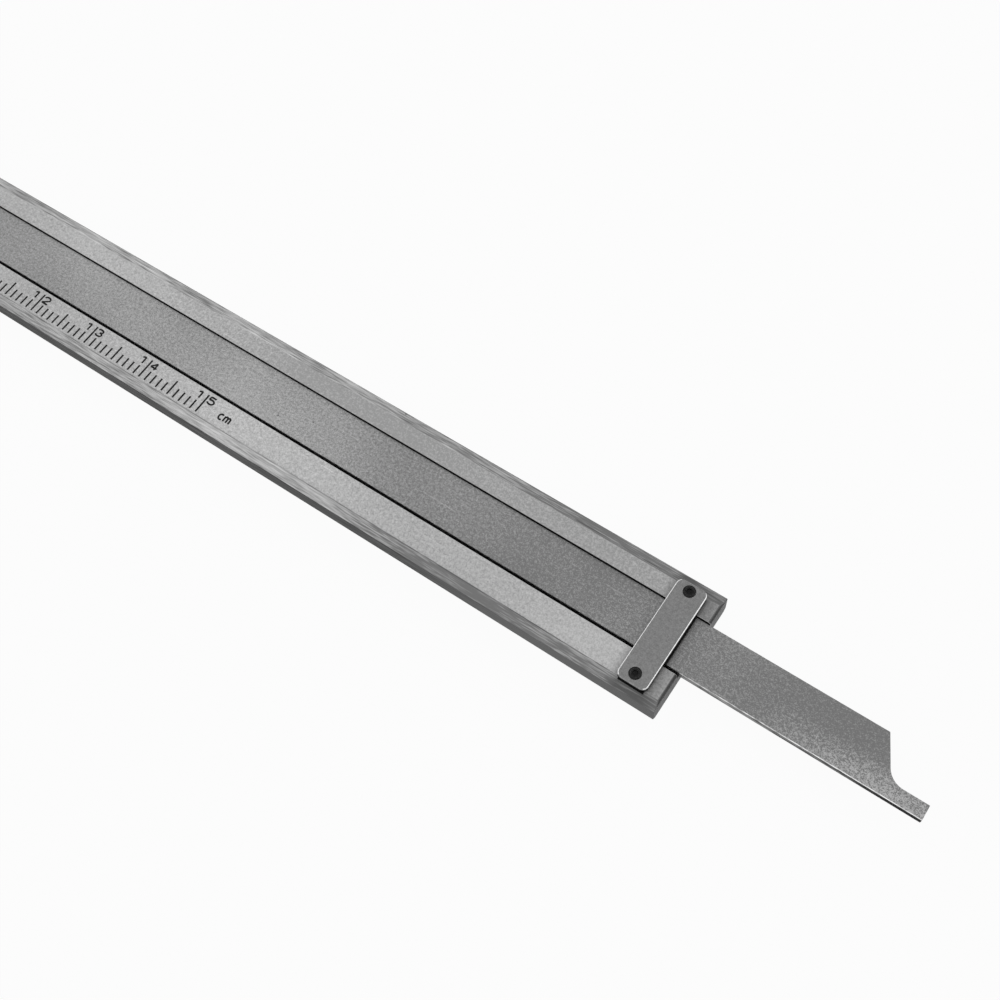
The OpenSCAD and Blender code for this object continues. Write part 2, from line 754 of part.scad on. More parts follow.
module dial_case() {
    screw_room = 0.2;
    color([0.68, 0.69, 0.7])
        difference() {
            union() {
                on_dial() rotate_extrude()
                    polygon([
                        [0, front_top], [flange_r, front_top], [flange_r, front_top + flange_t],
                        [case_r, front_top + flange_t], [case_r, ring_z - slide_gap],
                        [case_r - ring_depth, ring_z - slide_gap],
                        [case_r - ring_depth, ring_z + ring_h + slide_gap],
                        [case_r, ring_z + ring_h + slide_gap], [case_r, wall_top - 0.3],
                        [case_r - 0.3, wall_top], [case_inner_r, wall_top],
                        [case_inner_r, floor_top], [0, floor_top]
                    ]);
                // lug for the bezel's clamp
                on_dial() rotate(clamp_angle) translate([0, 0, clamp_lug_z]) {
                    translate([case_r + 0.5, -clamp_neck_w / 2, 0])
                        cube([clamp_reach - case_r - 0.5, clamp_neck_w, clamp_lug_t]);
                    translate([clamp_reach, 0, 0]) rotate(180) cylinder(r = clamp_lug_r, h = clamp_lug_t);
                }
            }
            post([pinion_x, axle_y], bush_r + seat_gap, front_top - cut, floor_top + cut);
            for (at = [[dial_cx, axle_y], takeup_at])
                post(at, pivot_r + run_gap, floor_top - pivot_len - 0.1, floor_top + cut);
            for (at = case_screw_at) {
                post(at, case_screw_r + seat_gap, front_top - cut, floor_top + cut);
                post(at, case_screw_head_r + run_gap, floor_top - case_screw_head_h, floor_top + cut);
            }
            on_slider() for (x = depth_screw_x)
                post([x, axle_y], depth_screw_head_r, front_top - cut, front_top + screw_room);
            post(clamp_at, clamp_r + run_gap, front_top - cut, floor_top + cut);
        }
}

module case_screws() {
    color([0.45, 0.45, 0.46])
        for (at = case_screw_at)
            difference() {
                union() {
                    post(at, case_screw_r, front_top - case_screw_len, floor_top - 0.2);
                    post(at, case_screw_head_r, floor_top - case_screw_head_h, floor_top - 0.1);
                }
                slot(at, 0.35, 0.35, 3 * case_screw_head_r, floor_top - 0.1, 45);
            }
}

module pinion_bush() {
    color([0.78, 0.63, 0.3])
        difference() {
            post([pinion_x, axle_y], bush_r, front_z, floor_top);
            post([pinion_x, axle_y], pinion_arbor_r + run_gap, front_z - cut, floor_top + cut);
        }
}

module pillars() {
    color([0.78, 0.63, 0.3])
        for (at = pillar_at)
            difference() {
                post(at, pillar_r, floor_top, bridge_z);
                post(at, pillar_screw_r + seat_gap, bridge_z - pillar_screw_len, bridge_z + cut);
            }
}

module bridge() {
    color([0.78, 0.63, 0.3])
        difference() {
            on_dial() translate([0, 0, bridge_z]) cylinder(r = bridge_r, h = bridge_t);
            for (at = bridge_window_at) post(at, bridge_window_r, bridge_z - cut, bridge_top + cut);
            for (at = [[pinion_x, axle_y], takeup_at])
                post(at, pivot_r + run_gap, bridge_z - cut, bridge_top + cut);
            post([dial_cx, axle_y], centre_arbor_r + run_gap, bridge_z - cut, bridge_top + cut);
            for (at = pillar_at) post(at, pillar_screw_r + run_gap, bridge_z - cut, bridge_top + cut);
            post(spring_stud_at, stud_r + seat_gap, bridge_z - cut, bridge_top + cut);
        }
}

module bridge_screws() {
    color([0.3, 0.32, 0.42])
        for (at = pillar_at)
            difference() {
                union() {
                    post(at, pillar_screw_r, bridge_z - pillar_screw_len + 0.2, bridge_top + 0.1);
                    post(at, pillar_head_r, bridge_top, bridge_top + bridge_head_h);
                }
                slot(at, 0.25, 0.2, 3 * pillar_head_r, bridge_top + bridge_head_h, 60);
            }
}

module bezel_spring() {
    gap_angle = 36;
    color([0.55, 0.55, 0.56])
        on_dial() translate([0, 0, ring_z]) rotate(gap_angle / 2)
            rotate_extrude(angle = 360 - gap_angle)
                translate([case_r - ring_depth + run_gap, 0])
                    square([2 * ring_depth - 2 * run_gap, ring_h]);
}

// A point of the hairspring's middle line, pushed out by side
function spring_point(i, count, side) =
    let (
        a = 90 - 360 * spring_turns * (1 - i / count),
        r = spring_in_r + (spring_out_r - spring_in_r) * i / count + side * spring_w / 2
    )
    r * [cos(a), sin(a)];

module hairspring() {
    count = spring_turns * 360 / spring_step;
    color([0.3, 0.36, 0.6])
        translate([takeup_at[0], takeup_at[1], spring_z])
            linear_extrude(spring_h)
                polygon(concat(
                    [for (i = [0 : count]) spring_point(i, count, 1)],
                    [for (i = [count : -1 : 0]) spring_point(i, count, -1)]
                ));
}

module spring_stud() {
    color([0.78, 0.63, 0.3]) post(spring_stud_at, stud_r, spring_z - 0.1, bridge_top);
}

module spring_collet() {
    color([0.78, 0.63, 0.3])
        difference() {
            post(takeup_at, collet_r, spring_z - 0.1, spring_z + spring_h + 0.1);
            post(takeup_at, takeup_arbor_r + seat_gap, spring_z - cut, spring_z + spring_h + cut);
        }
}

// An arbor with thinner pivots that run in the case floor and the bridge
module arbor(at, r, low_pivot) {
    post(at, r, low_pivot ? floor_top + 0.1 : wheel_z, bridge_z - 0.1);
    post(at, pivot_r, bridge_z - 0.2, bridge_z + pivot_len);
    if (low_pivot) post(at, pivot_r, floor_top - pivot_len, floor_top + 0.2);
}

module drive_pinion() {
    tooth_z = rack_floor + 0.08;
    tooth_h = rack_t - 0.06;
    color([0.66, 0.67, 0.68]) {
        translate([pinion_x, axle_y, tooth_z])
            linear_extrude(tooth_h) polygon(wheel_outline(pinion_teeth, rack_module, 90));
        post([pinion_x, axle_y], pinion_arbor_r, tooth_z + tooth_h - 0.1, wheel_z + 0.2);
        arbor([pinion_x, axle_y], pinion_arbor_r, false);
    }
}

// A wheel with round lightening holes, bored for its arbor
module wheel(teeth, start, bore_r, windows, window_r, window_at) {
    difference() {
        linear_extrude(gear_t) polygon(wheel_outline(teeth, gear_module, start));
        translate([0, 0, -cut]) cylinder(r = bore_r, h = gear_t + 2 * cut);
        for (i = [0 : windows - 1])
            rotate(i * 360 / windows) post([window_at, 0], window_r, -cut, gear_t + cut);
    }
}

module drive_wheel() {
    color([0.8, 0.66, 0.34])
        translate([pinion_x, axle_y, wheel_z])
            wheel(drive_teeth, 180 / drive_teeth, pinion_arbor_r + seat_gap, 5, 0.75, 0.6 * drive_r);
}

module centre_pinion() {
    at = [dial_cx, axle_y];
    color([0.66, 0.67, 0.68]) {
        translate([dial_cx, axle_y, wheel_z - 0.1])
            linear_extrude(gear_t + 0.2) polygon(wheel_outline(centre_teeth, gear_module, centre_start));
        post(at, 0.9, floor_top + 0.1, bridge_z - 0.1);
        post(at, pivot_r, floor_top - pivot_len, floor_top + 0.2);
        post(at, centre_arbor_r, bridge_z - 0.2, dial_top + hub_gap + hub_h + 0.1);
    }
}

module takeup_wheel() {
    color([0.8, 0.66, 0.34])
        translate([takeup_at[0], takeup_at[1], wheel_z])
            wheel(takeup_teeth, takeup_angle + 180 + 180 / takeup_teeth + takeup_offset,
                  takeup_arbor_r + seat_gap, 5, 1.35, 0.6 * takeup_r);
}

module takeup_arbor() {
    color([0.66, 0.67, 0.68]) arbor(takeup_at, takeup_arbor_r, true);
}

module pointer() {
    hub_r = 1.5;
    blade_z = dial_top + hub_gap + 0.15;
    blade_t = 0.25;
    tail = 4.5;
    color([0.08, 0.08, 0.08])
        on_dial() difference() {
            union() {
                translate([0, 0, dial_top + hub_gap]) cylinder(r = hub_r, h = hub_h);
                translate([0, 0, blade_z]) linear_extrude(blade_t)
                    polygon([
                        [-0.5, 0], [-0.2, pointer_len - 1.5], [0, pointer_len],
                        [0.2, pointer_len - 1.5], [0.5, 0], [0.75, -tail], [-0.75, -tail]
                    ]);
            }
            translate([0, 0, dial_top]) cylinder(r = centre_arbor_r + seat_gap, h = 2 * hub_h);
        }
}

module bezel() {
    skirt_r = case_r + slide_gap;
    smooth_r = bezel_r - 0.35;
    ridge_z = bezel_foot_z + bezel_foot_h + clamp_shoe_t + 0.2;
    ridge_h = bezel_top - 1.4 - ridge_z;
    waist_r = smooth_r - 0.5;
    color([0.66, 0.67, 0.68])
        on_dial() difference() {
            union() {
                translate([0, 0, ridge_z])
                    linear_extrude(ridge_h) polygon(ridged(bezel_r, bezel_ridges, 0.3));
                rotate_extrude()
                    polygon([
                        [0, bezel_foot_z], [smooth_r, bezel_foot_z],
                        [smooth_r, bezel_foot_z + bezel_foot_h],
                        [waist_r, bezel_foot_z + bezel_foot_h], [waist_r, ridge_z + 0.1],
                        [smooth_r, ridge_z + 0.1], [smooth_r, bezel_top - 0.9],
                        [smooth_r - 0.9, bezel_top], [0, bezel_top]
                    ]);
            }
            rotate_extrude()
                polygon([
                    [0, bezel_foot_z - cut], [skirt_r, bezel_foot_z - cut], [skirt_r, ring_z - slide_gap],
                    [case_r + ring_depth + slide_gap, ring_z - slide_gap],
                    [case_r + ring_depth + slide_gap, ring_z + ring_h + slide_gap],
                    [skirt_r, ring_z + ring_h + slide_gap], [skirt_r, shelf_z],
                    [dial_r - 0.8, shelf_z], [dial_r - 0.8, dial_z], [dial_r + seat_gap, dial_z],
                    [dial_r + seat_gap, bezel_top + cut], [0, bezel_top + cut]
                ]);
        }
}

module dial_face() {
    color([0.95, 0.95, 0.93])
        on_dial() translate([0, 0, dial_z]) difference() {
            cylinder(r = dial_r, h = dial_t);
            translate([0, 0, -cut]) cylinder(r = centre_arbor_r + 0.5, h = dial_t + 2 * cut);
        }
}

module spacer_ring() {
    color([0.85, 0.86, 0.86])
        on_dial() translate([0, 0, dial_top]) rotate_extrude()
            polygon([
                [dial_r - 1, 0], [dial_r, 0], [dial_r, spacer_h], [dial_r - 0.6, spacer_h]
            ]);
}

module crystal() {
    color([0.85, 0.92, 0.95, 0.3])
        on_dial() translate([0, 0, crystal_z]) {
            cylinder(r = dial_r, h = crystal_t - 0.3);
            translate([0, 0, crystal_t - 0.3]) cylinder(r1 = dial_r, r2 = dial_r - 0.3, h = 0.3);
        }
}

module clamp_shoe() {
    shoe_z = clamp_lug_z + clamp_lug_t;
    lip_z = bezel_foot_z + bezel_foot_h + 0.05;
    nose_r = bezel_r - 0.65;
    color([0.6, 0.61, 0.62])
        difference() {
            union() {
                post(clamp_at, clamp_lug_r, shoe_z, lip_z + clamp_shoe_t);
                on_dial() rotate(clamp_angle) translate([nose_r, -clamp_shoe_w / 2, lip_z])
                    cube([clamp_reach - nose_r, clamp_shoe_w, clamp_shoe_t]);
            }
            on_dial() post([0, 0], bezel_r - 0.3, shoe_z - cut, lip_z);
            on_dial() post([0, 0], nose_r, lip_z - cut, lip_z + 2 * cut);
            post(clamp_at, clamp_r + run_gap, shoe_z - cut, lip_z + 2 * cut);
        }
}

module clamp_screw() {
    head_z = bezel_foot_z + bezel_foot_h + 0.05 + clamp_shoe_t + 0.05;
    color([0.6, 0.61, 0.62])
        translate([clamp_at[0], clamp_at[1], 0]) {
            translate([0, 0, front_top + 0.1]) cylinder(r = clamp_r, h = head_z - front_top + 0.1);
            translate([0, 0, head_z]) cylinder(r = 1.5, h = 0.4);
            translate([0, 0, head_z + 0.4]) linear_extrude(clamp_head_h)
                polygon(ridged(clamp_head_r, 24, 0.18));
            translate([0, 0, head_z + 0.4 + clamp_head_h])
                cylinder(r1 = clamp_head_r - 0.2, r2 = clamp_head_r - 0.5, h = 0.3);
        }
}

beam();
rack();
rack_pins();
end_plate();
end_screws();
slider_frame();
back_plate();
back_screws();
gib();
gib_screws();
depth_bar();
depth_screws();
roller_pin();
dial_case();
case_screws();
pinion_bush();
pillars();
bridge();
bridge_screws();
bezel_spring();
hairspring();
spring_stud();
clamp_shoe();
drive_pinion();
drive_wheel();
centre_pinion();
pointer();
takeup_arbor();
takeup_wheel();
spring_collet();
bezel();
dial_face();
spacer_ring();
crystal();
lock_screw();
clamp_screw();
thumb_roller();
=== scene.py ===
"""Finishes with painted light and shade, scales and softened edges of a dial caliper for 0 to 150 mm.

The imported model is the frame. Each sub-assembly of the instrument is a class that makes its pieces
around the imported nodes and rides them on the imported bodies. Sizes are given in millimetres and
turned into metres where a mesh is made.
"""

import logging
import math
from contextlib import contextmanager
from dataclasses import dataclass, field
from enum import Enum
from typing import Callable, Iterator

import bmesh
import bpy
from mathutils import Matrix, Vector


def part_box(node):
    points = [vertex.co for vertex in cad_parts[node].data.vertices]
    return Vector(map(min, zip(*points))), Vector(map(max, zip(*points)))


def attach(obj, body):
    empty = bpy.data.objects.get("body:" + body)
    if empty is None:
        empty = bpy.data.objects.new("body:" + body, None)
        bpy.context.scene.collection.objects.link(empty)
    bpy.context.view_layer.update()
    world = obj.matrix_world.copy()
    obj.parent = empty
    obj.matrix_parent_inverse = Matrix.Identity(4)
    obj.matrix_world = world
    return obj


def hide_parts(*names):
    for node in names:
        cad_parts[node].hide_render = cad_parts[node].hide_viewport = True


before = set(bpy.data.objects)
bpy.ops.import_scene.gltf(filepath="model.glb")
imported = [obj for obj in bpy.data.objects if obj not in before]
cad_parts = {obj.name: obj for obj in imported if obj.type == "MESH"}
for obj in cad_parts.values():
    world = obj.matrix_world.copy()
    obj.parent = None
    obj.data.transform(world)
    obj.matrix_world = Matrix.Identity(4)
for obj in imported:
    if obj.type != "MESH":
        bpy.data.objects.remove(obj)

MM = 0.001
MICRON = 1e-6
MERGE_GAP = 2e-6
LETTER_GAP = 1e-7
LEVEL_GAP = 0.001
FLAT_ANGLE = 0.5
WHITE = (1, 1, 1, 1)

# Shares of one axis in a unit normal, from a face that looks along it to one that hardly does.
SQUARE = 0.99
UPWARD = 0.9
SLOPED = 0.5
LEANING = 0.3
UPRIGHT = 0.2

log = logging.getLogger("caliper")

Pair = tuple[float, float]
Triple = tuple[float, float, float]
Path = list[tuple]
Test = Callable[[Vector, Vector], bool]
Piece = bpy.types.Object
Material = bpy.types.Material
Socket = bpy.types.NodeSocket
Sockets = bpy.types.bpy_prop_collection
Tree = bpy.types.NodeTree


class Body(Enum):
    """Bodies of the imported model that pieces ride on."""

    FRAME = "frame"
    SLIDER = "slider"
    CENTRE = "centre"
    DIAL = "dial"
    LOCK = "lock"
    CLAMP = "clamp"
    ROLLER = "roller"


class Part(Enum):
    """Parts of a mesh that are picked in edit mode."""

    FACE = "FACE"
    EDGE = "EDGE"


class BeamLine(Enum):
    """Lines of the centimetre scale: their step in marks and the height of their upper end in mm."""

    CENTIMETRE = (10, 4.6)
    HALF = (5, 3.95)
    MILLIMETRE = (1, 3.13)


class DialLine(Enum):
    """Lines of the dial: their step in marks, the radius of their inner end in mm and their width."""

    MILLIMETRE = (20, 12.9, 0.256)
    FIFTH = (5, 13.7, 0.184)
    DIVISION = (1, 14.4, 0.136)


def grey(value: float) -> Triple:
    """Returns a neutral colour of one linear value."""
    return (value, value, value)


def deselect() -> None:
    """Leaves nothing selected."""
    bpy.ops.object.select_all(action="DESELECT")


def make_active(piece: Piece) -> None:
    """Selects one object alone and makes it the active one.

    Args:
        piece: The object.
    """
    deselect()
    piece.select_set(True)
    bpy.context.view_layer.objects.active = piece


@contextmanager
def editing(piece: Piece) -> Iterator[None]:
    """Opens an object in edit mode and closes it again.

    Args:
        piece: The mesh object to edit.
    """
    make_active(piece)
    bpy.ops.object.mode_set(mode="EDIT")
    try:
        yield
    finally:
        bpy.ops.object.mode_set(mode="OBJECT")


def pick(piece: Piece, part: Part, test: Test) -> None:
    """Selects faces or edges in edit mode.

    Args:
        piece: The object in edit mode.
        part: Which of the two.
        test: Says of a face's centre and normal, or of an edge's middle and direction, whether it
            is picked.
    """
    bpy.ops.mesh.select_mode(type=part.value)
    bpy.ops.mesh.select_all(action="DESELECT")
    mesh = bmesh.from_edit_mesh(piece.data)
    if part is Part.FACE:
        for face in mesh.faces:
            face.select_set(bool(test(face.calc_center_median() / MM, face.normal)))
    else:
        for edge in mesh.edges:
            a, b = (vert.co for vert in edge.verts)
            edge.select_set(bool(test((a + b) / 2 / MM, (b - a).normalized())))
    bmesh.update_edit_mesh(piece.data)


def pick_top(piece: Piece) -> None:
    """Selects the faces that look up."""
    pick(piece, Part.FACE, lambda spot, way: way.z > UPWARD)


def new_primitive(name: str) -> Piece:
    """Names the primitive that was just added and moves its place into its mesh.

    Args:
        name: Name of the piece.

    Returns:
        The object.
    """
    piece = bpy.context.active_object
    piece.name = name
    make_active(piece)
    bpy.ops.object.transform_apply(location=True, rotation=True, scale=True)
    return piece


def new_block(name: str, low: Triple, high: Triple) -> Piece:
    """Adds a block to be shaped.

    Args:
        name: Name of the piece.
        low: Its lowest corner in mm.
        high: Its highest corner in mm.

    Returns:
        The object, with its place in its mesh.
    """
    deselect()
    centre = [(a + b) / 2 * MM for a, b in zip(low, high)]
    bpy.ops.mesh.primitive_cube_add(size=1, location=centre)
    bpy.context.active_object.scale = [(b - a) * MM for a, b in zip(low, high)]
    return new_primitive(name)


def new_disc(name: str, at: Pair, radius: float, low: float, high: float, sides: int = 64) -> Piece:
    """Adds an upright cylinder to be shaped.

    Args:
        name: Name of the piece.
        at: Its axis in mm, as X and Y.
        radius: Its radius in mm.
        low: Height of its underside in mm.
        high: Height of its top in mm.
        sides: Number of its sides.

    Returns:
        The object, with its place in its mesh.
    """
    deselect()
    bpy.ops.mesh.primitive_cylinder_add(
        vertices=sides, radius=radius * MM, depth=(high - low) * MM,
        location=(at[0] * MM, at[1] * MM, (low + high) / 2 * MM))
    return new_primitive(name)


def copy_of(node: str, name: str, merge: bool = True) -> Piece:
    """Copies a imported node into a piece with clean, merged faces.

    Args:
        node: Name of the node.
        name: Name of the piece.
        merge: Whether flat neighbours become one face; rings keep their triangles.

    Returns:
        The new object.
    """
    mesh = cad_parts[node].data.copy()
    mesh.name = name
    mesh.materials.clear()
    piece = bpy.data.objects.new(name, mesh)
    bpy.context.scene.collection.objects.link(piece)
    make_active(piece)
    bpy.ops.mesh.customdata_custom_splitnormals_clear()
    with editing(piece):
        bpy.ops.mesh.select_all(action="SELECT")
        bpy.ops.mesh.remove_doubles(threshold=MERGE_GAP)
        if merge:
            bpy.ops.mesh.dissolve_limited(angle_limit=math.radians(FLAT_ANGLE))
    return piece


def twin(piece: Piece, name: str, move: Matrix) -> Piece:
    """Copies a piece with its own mesh.

    Args:
        piece: The piece to copy.
        name: Name of the copy.
        move: Where the copy's mesh goes.

    Returns:
        The copy.
    """
    other = piece.copy()
    other.data = piece.data.copy()
    other.name = name
    other.data.transform(move)
    bpy.context.scene.collection.objects.link(other)
    return other


def join(pieces: list[Piece], name: str) -> Piece:
    """Joins pieces into the first of them.

    Args:
        pieces: The pieces.
        name: Name of the result.

    Returns:
        The joined object.
    """
    deselect()
    for piece in pieces:
        piece.select_set(True)
    bpy.context.view_layer.objects.active = pieces[0]
    bpy.ops.object.join()
    pieces[0].name = name
    pieces[0].data.name = name
    return pieces[0]


def apply_modifier(piece: Piece, kind: str, **settings: object) -> None:
    """Adds a modifier and applies it.

    Args:
        piece: The piece.
        kind: Blender's name of the modifier's type.
        settings: Values of its properties.
    """
    make_active(piece)
    bpy.ops.object.modifier_add(type=kind)
    modifier = piece.modifiers[-1]
    for key, value in settings.items():
        setattr(modifier, key, value)
    bpy.ops.object.modifier_apply(modifier=modifier.name)


def smooth(piece: Piece, angle: float = 40.0) -> None:
    """Shades a piece smooth over its shallow edges and keeps its flats flat.

    Args:
        piece: The piece.
        angle: Edges above this angle, in degrees, stay sharp.
    """
    make_active(piece)
    bpy.ops.object.shade_smooth_by_angle(angle=math.radians(angle))
    apply_modifier(piece, "WEIGHTED_NORMAL", keep_sharp=True)


def box_mm(node: str) -> tuple[Vector, Vector]:
    """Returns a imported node's lowest and highest corners in mm."""
    low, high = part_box(node)
    return Vector(low) / MM, Vector(high) / MM


@dataclass(frozen=True)
class Zone:
    """A stretch of the instrument over which a mask rises from 0 to 1.

    Attributes:
        axis: X along the beam or Y across it.
        start: Where the mask is 0, in mm.
        end: Where it is 1, in mm.
    """

    axis: str
    start: float
    end: float


class NodeSheet:
    """Adds and links the nodes of one shader tree."""

    def __init__(self, tree: Tree) -> None:
        """Keeps the tree.

        Args:
            tree: A material's tree or a node group.
        """
        self.tree = tree

    @classmethod
    def group(cls, name: str, inputs: dict[str, tuple], outputs: dict[str, tuple]) -> "NodeSheet":
        """Starts a shader node group.

        Args:
            name: Its name.
            inputs: Names of its inputs by their kind, Float, Vector or Color.
            outputs: Names of its outputs by their kind.

        Returns:
            The group's sheet.
        """
        tree = bpy.data.node_groups.new(name, "ShaderNodeTree")
        for side, sockets in (("INPUT", inputs), ("OUTPUT", outputs)):
            for kind, keys in sockets.items():
                for key in keys:
                    tree.interface.new_socket(name=key, in_out=side, socket_type="NodeSocket" + kind)
        return cls(tree)

    def given(self) -> Sockets:
        """Adds the group's inputs and returns their sockets."""
        return self.tree.nodes.new("NodeGroupInput").outputs

    def put(self, **results: Socket) -> Tree:
        """Adds the group's outputs and links them.

        Args:
            results: What each output gives.

        Returns:
            The group.
        """
        put = self.tree.nodes.new("NodeGroupOutput").inputs
        for key, result in results.items():
            self.tree.links.new(result, put[key])
        return self.tree

    def feed(self, node: bpy.types.Node, inputs: dict) -> None:
        """Sets or links a node's inputs.

        Args:
            node: The node.
            inputs: Its inputs by name or number, each a value or a socket to link.
        """
        for key, value in inputs.items():
            if isinstance(value, Socket):
                self.tree.links.new(value, node.inputs[key])
            else:
                node.inputs[key].default_value = value

    def add(self, kind: str, inputs: dict | None = None, **settings: object) -> bpy.types.Node:
        """Adds a node.

        Args:
            kind: Its type, without the leading ShaderNode.
            inputs: Its inputs, as feed takes them.
            settings: Its own properties.

        Returns:
            The node.
        """
        node = self.tree.nodes.new("ShaderNode" + kind)
        for key, value in settings.items():
            setattr(node, key, value)
        self.feed(node, inputs or {})
        return node

    def shared(self, name: str, build: Callable[[], Tree], inputs: dict) -> Sockets:
        """Places a shared group in a material, building it the first time.

        Args:
            name: Name of the group.
            build: The function that makes it.
            inputs: Its inputs, as feed takes them.

        Returns:
            The sockets of its outputs.
        """
        tree = bpy.data.node_groups.get(name) or build()
        return self.add("Group", inputs, node_tree=tree).outputs

    def math(self, operation: str, *values: object, clamp: bool = False) -> Socket:
        """Adds a Math node and returns its output."""
        return self.add("Math", dict(enumerate(values)), operation=operation, use_clamp=clamp).outputs[0]

    def times(self, *values: object, clamp: bool = False) -> Socket:
        """Adds a product of two values and returns it."""
        return self.math("MULTIPLY", *values, clamp=clamp)

    def plus(self, *values: object, clamp: bool = False) -> Socket:
        """Adds a sum of two values and returns it."""
        return self.math("ADD", *values, clamp=clamp)

    def minus(self, *values: object, clamp: bool = False) -> Socket:
        """Adds a difference of two values and returns it."""
        return self.math("SUBTRACT", *values, clamp=clamp)

    def blend(self, factor: object, a: object, b: object) -> Socket:
        """Adds a colour mix from a to b and returns its output."""
        return self.add("Mix", {0: factor, 6: a, 7: b}, data_type="RGBA").outputs[2]

    def noise(self, vector: object, scale: object, detail: float) -> Socket:
        """Adds a noise and returns its value."""
        return self.add("TexNoise", {"Vector": vector, "Scale": scale, "Detail": detail}).outputs[0]

    def stretched(self, vector: object, **settings: object) -> Socket:
        """Adds a Mapping node and returns its output."""
        inputs = {"Vector": vector, **{key.capitalize(): value for key, value in settings.items()}}
        return self.add("Mapping", inputs).outputs[0]

    def spread(self, value: object, low: object, high: object) -> Socket:
        """Adds a Map Range node from low..high to 0..1 and returns its output."""
        return self.add("MapRange", {0: value, 1: low, 2: high}).outputs[0]

    def zone(self, spot: Sockets, zone: Zone) -> Socket:
        """Adds a zone's mask out of split coordinates and returns it."""
        return self.spread(spot[zone.axis], zone.start * MM, zone.end * MM)


@dataclass(frozen=True)
class SurfaceGrain:
    """The grain of a ground or blasted surface with painted light and shade along the beam, a group shared
    by every finish.

    Attributes:
        fine_share: Share of the fine noise in the grain; the rest is patches.
        patch_scale: Scale of the patches, as a share of the fine noise's.
        broad_scale: Scale of the slow changes of tone, per metre.
        tones: Noise that gives the darkest tone, and noise that gives the lightest.
        worn: Noise outside the worn patches, and noise inside them.
        bar_tip: Where the depth bar is worn, along it.
        bar_edge: Where it is worn, across it.
        upper_land: The upper half of the beam, where the tone shifts as painted shade.
        scale_end: Where that painted shade sets in, along the scale's last stretch.
    """

    fine_share: float = 0.62
    patch_scale: float = 0.4
    broad_scale: float = 55.0
    tones: Pair = (0.34, 0.66)
    worn: Pair = (0.38, 0.58)
    bar_tip: Zone = Zone("X", 229.0, 243.0)
    bar_edge: Zone = Zone("Y", 9.2, 6.6)
    upper_land: Zone = Zone("Y", 8.5, 12.5)
    scale_end: Zone = Zone("X", 138.0, 158.0)

    def build(self) -> Tree:
        """Makes the group.

        Returns:
            A group that turns a scale and a stretch into a tone and a height, both 0 to 1.
        """
        sheet = NodeSheet.group(
            "surface_grain",
            {"Float": ("Scale", "Broad", "Fade", "Fade From", "Fade To", "Upper", "Wear"),
             "Vector": ("Stretch",)},
            {"Float": ("Tone", "Height")})
        given = sheet.given()
        place = sheet.add("TexCoord").outputs["Object"]
        spot = sheet.add("SeparateXYZ", {0: place}).outputs
        run = sheet.add("VectorMath", {0: place, 1: given["Stretch"]}, operation="MULTIPLY").outputs[0]
        fine = sheet.noise(run, given["Scale"], 3.0)
        patch = sheet.noise(run, sheet.times(given["Scale"], self.patch_scale), 2.0)
        broad = sheet.noise(place, self.broad_scale, 1.0)
        mixed = sheet.plus(sheet.times(fine, self.fine_share), sheet.times(patch, 1 - self.fine_share))
        lifted = sheet.times(sheet.minus(broad, 0.5), given["Broad"])
        # Painted light and shade along X, following the falloff of the key light's highlight.
        along = sheet.spread(spot["X"], given["Fade From"], given["Fade To"])
        faded = sheet.times(along, given["Fade"])
        tip = sheet.times(sheet.zone(spot, self.bar_tip), sheet.zone(spot, self.bar_edge))
        worn = sheet.times(sheet.times(tip, given["Wear"]), sheet.spread(mixed, *self.worn))
        # Painted shade on the beam's upper half, past the scale's last stretch.
        above = sheet.times(sheet.zone(spot, self.upper_land), sheet.zone(spot, self.scale_end))
        upper = sheet.times(above, given["Upper"])
        shift = sheet.plus(sheet.plus(lifted, faded), sheet.plus(worn, upper))
        tone = sheet.plus(sheet.spread(mixed, *self.tones), shift, clamp=True)
        return sheet.put(Tone=tone, Height=fine)


@dataclass(frozen=True)
class HandlingMarks:
    """The marks that handling leaves, a group shared by every finish.

    Attributes:
        stretch: Scale of the scratches' noise along each axis, per metre.
        turn: Angle of the scratches to the beam, in radians.
        thin: Noise that makes no scratch, and noise that makes a full one.
        where_scale: Scale of the patches that carry scratches, per metre.
        where: Noise outside those patches, and noise inside them.
        speck_scale: Scale of the specks' cells, per metre.
        speck_size: Distance from a cell's middle outside a speck, and inside it.
        rare: Share of the cells without a speck.
    """

    stretch: Triple = (60.0, 2600.0, 900.0)
    turn: float = 0.5
    thin: Pair = (0.7, 0.76)
    where_scale: float = 170.0
    where: Pair = (0.52, 0.6)
    speck_scale: float = 420.0
    speck_size: Pair = (0.085, 0.05)
    rare: float = 0.86

    def build(self) -> Tree:
        """Makes the group.

        Returns:
            A group that gives a mask of fine scratches and one of dark specks.
        """
        sheet = NodeSheet.group(
            "handling_marks", {"Float": ("Scratches", "Specks")}, {"Float": ("Scratch", "Speck")})
        given = sheet.given()
        place = sheet.add("TexCoord").outputs["Object"]
        turned = sheet.stretched(place, rotation=(0, 0, self.turn), scale=self.stretch)
        thin = sheet.spread(sheet.noise(turned, 1.0, 1.0), *self.thin)
        here = sheet.spread(sheet.noise(place, self.where_scale, 1.0), *self.where)
        scratch = sheet.times(sheet.times(thin, here), given["Scratches"], clamp=True)
        cells = sheet.add("TexVoronoi", {"Vector": place, "Scale": self.speck_scale}).outputs
        dot = sheet.spread(cells["Distance"], *self.speck_size)
        chosen = sheet.add("SeparateColor", {0: cells["Color"]}).outputs[0]
        rare = sheet.math("GREATER_THAN", chosen, self.rare)
        speck = sheet.times(sheet.times(dot, rare), given["Specks"], clamp=True)
        return sheet.put(Scratch=scratch, Speck=speck)


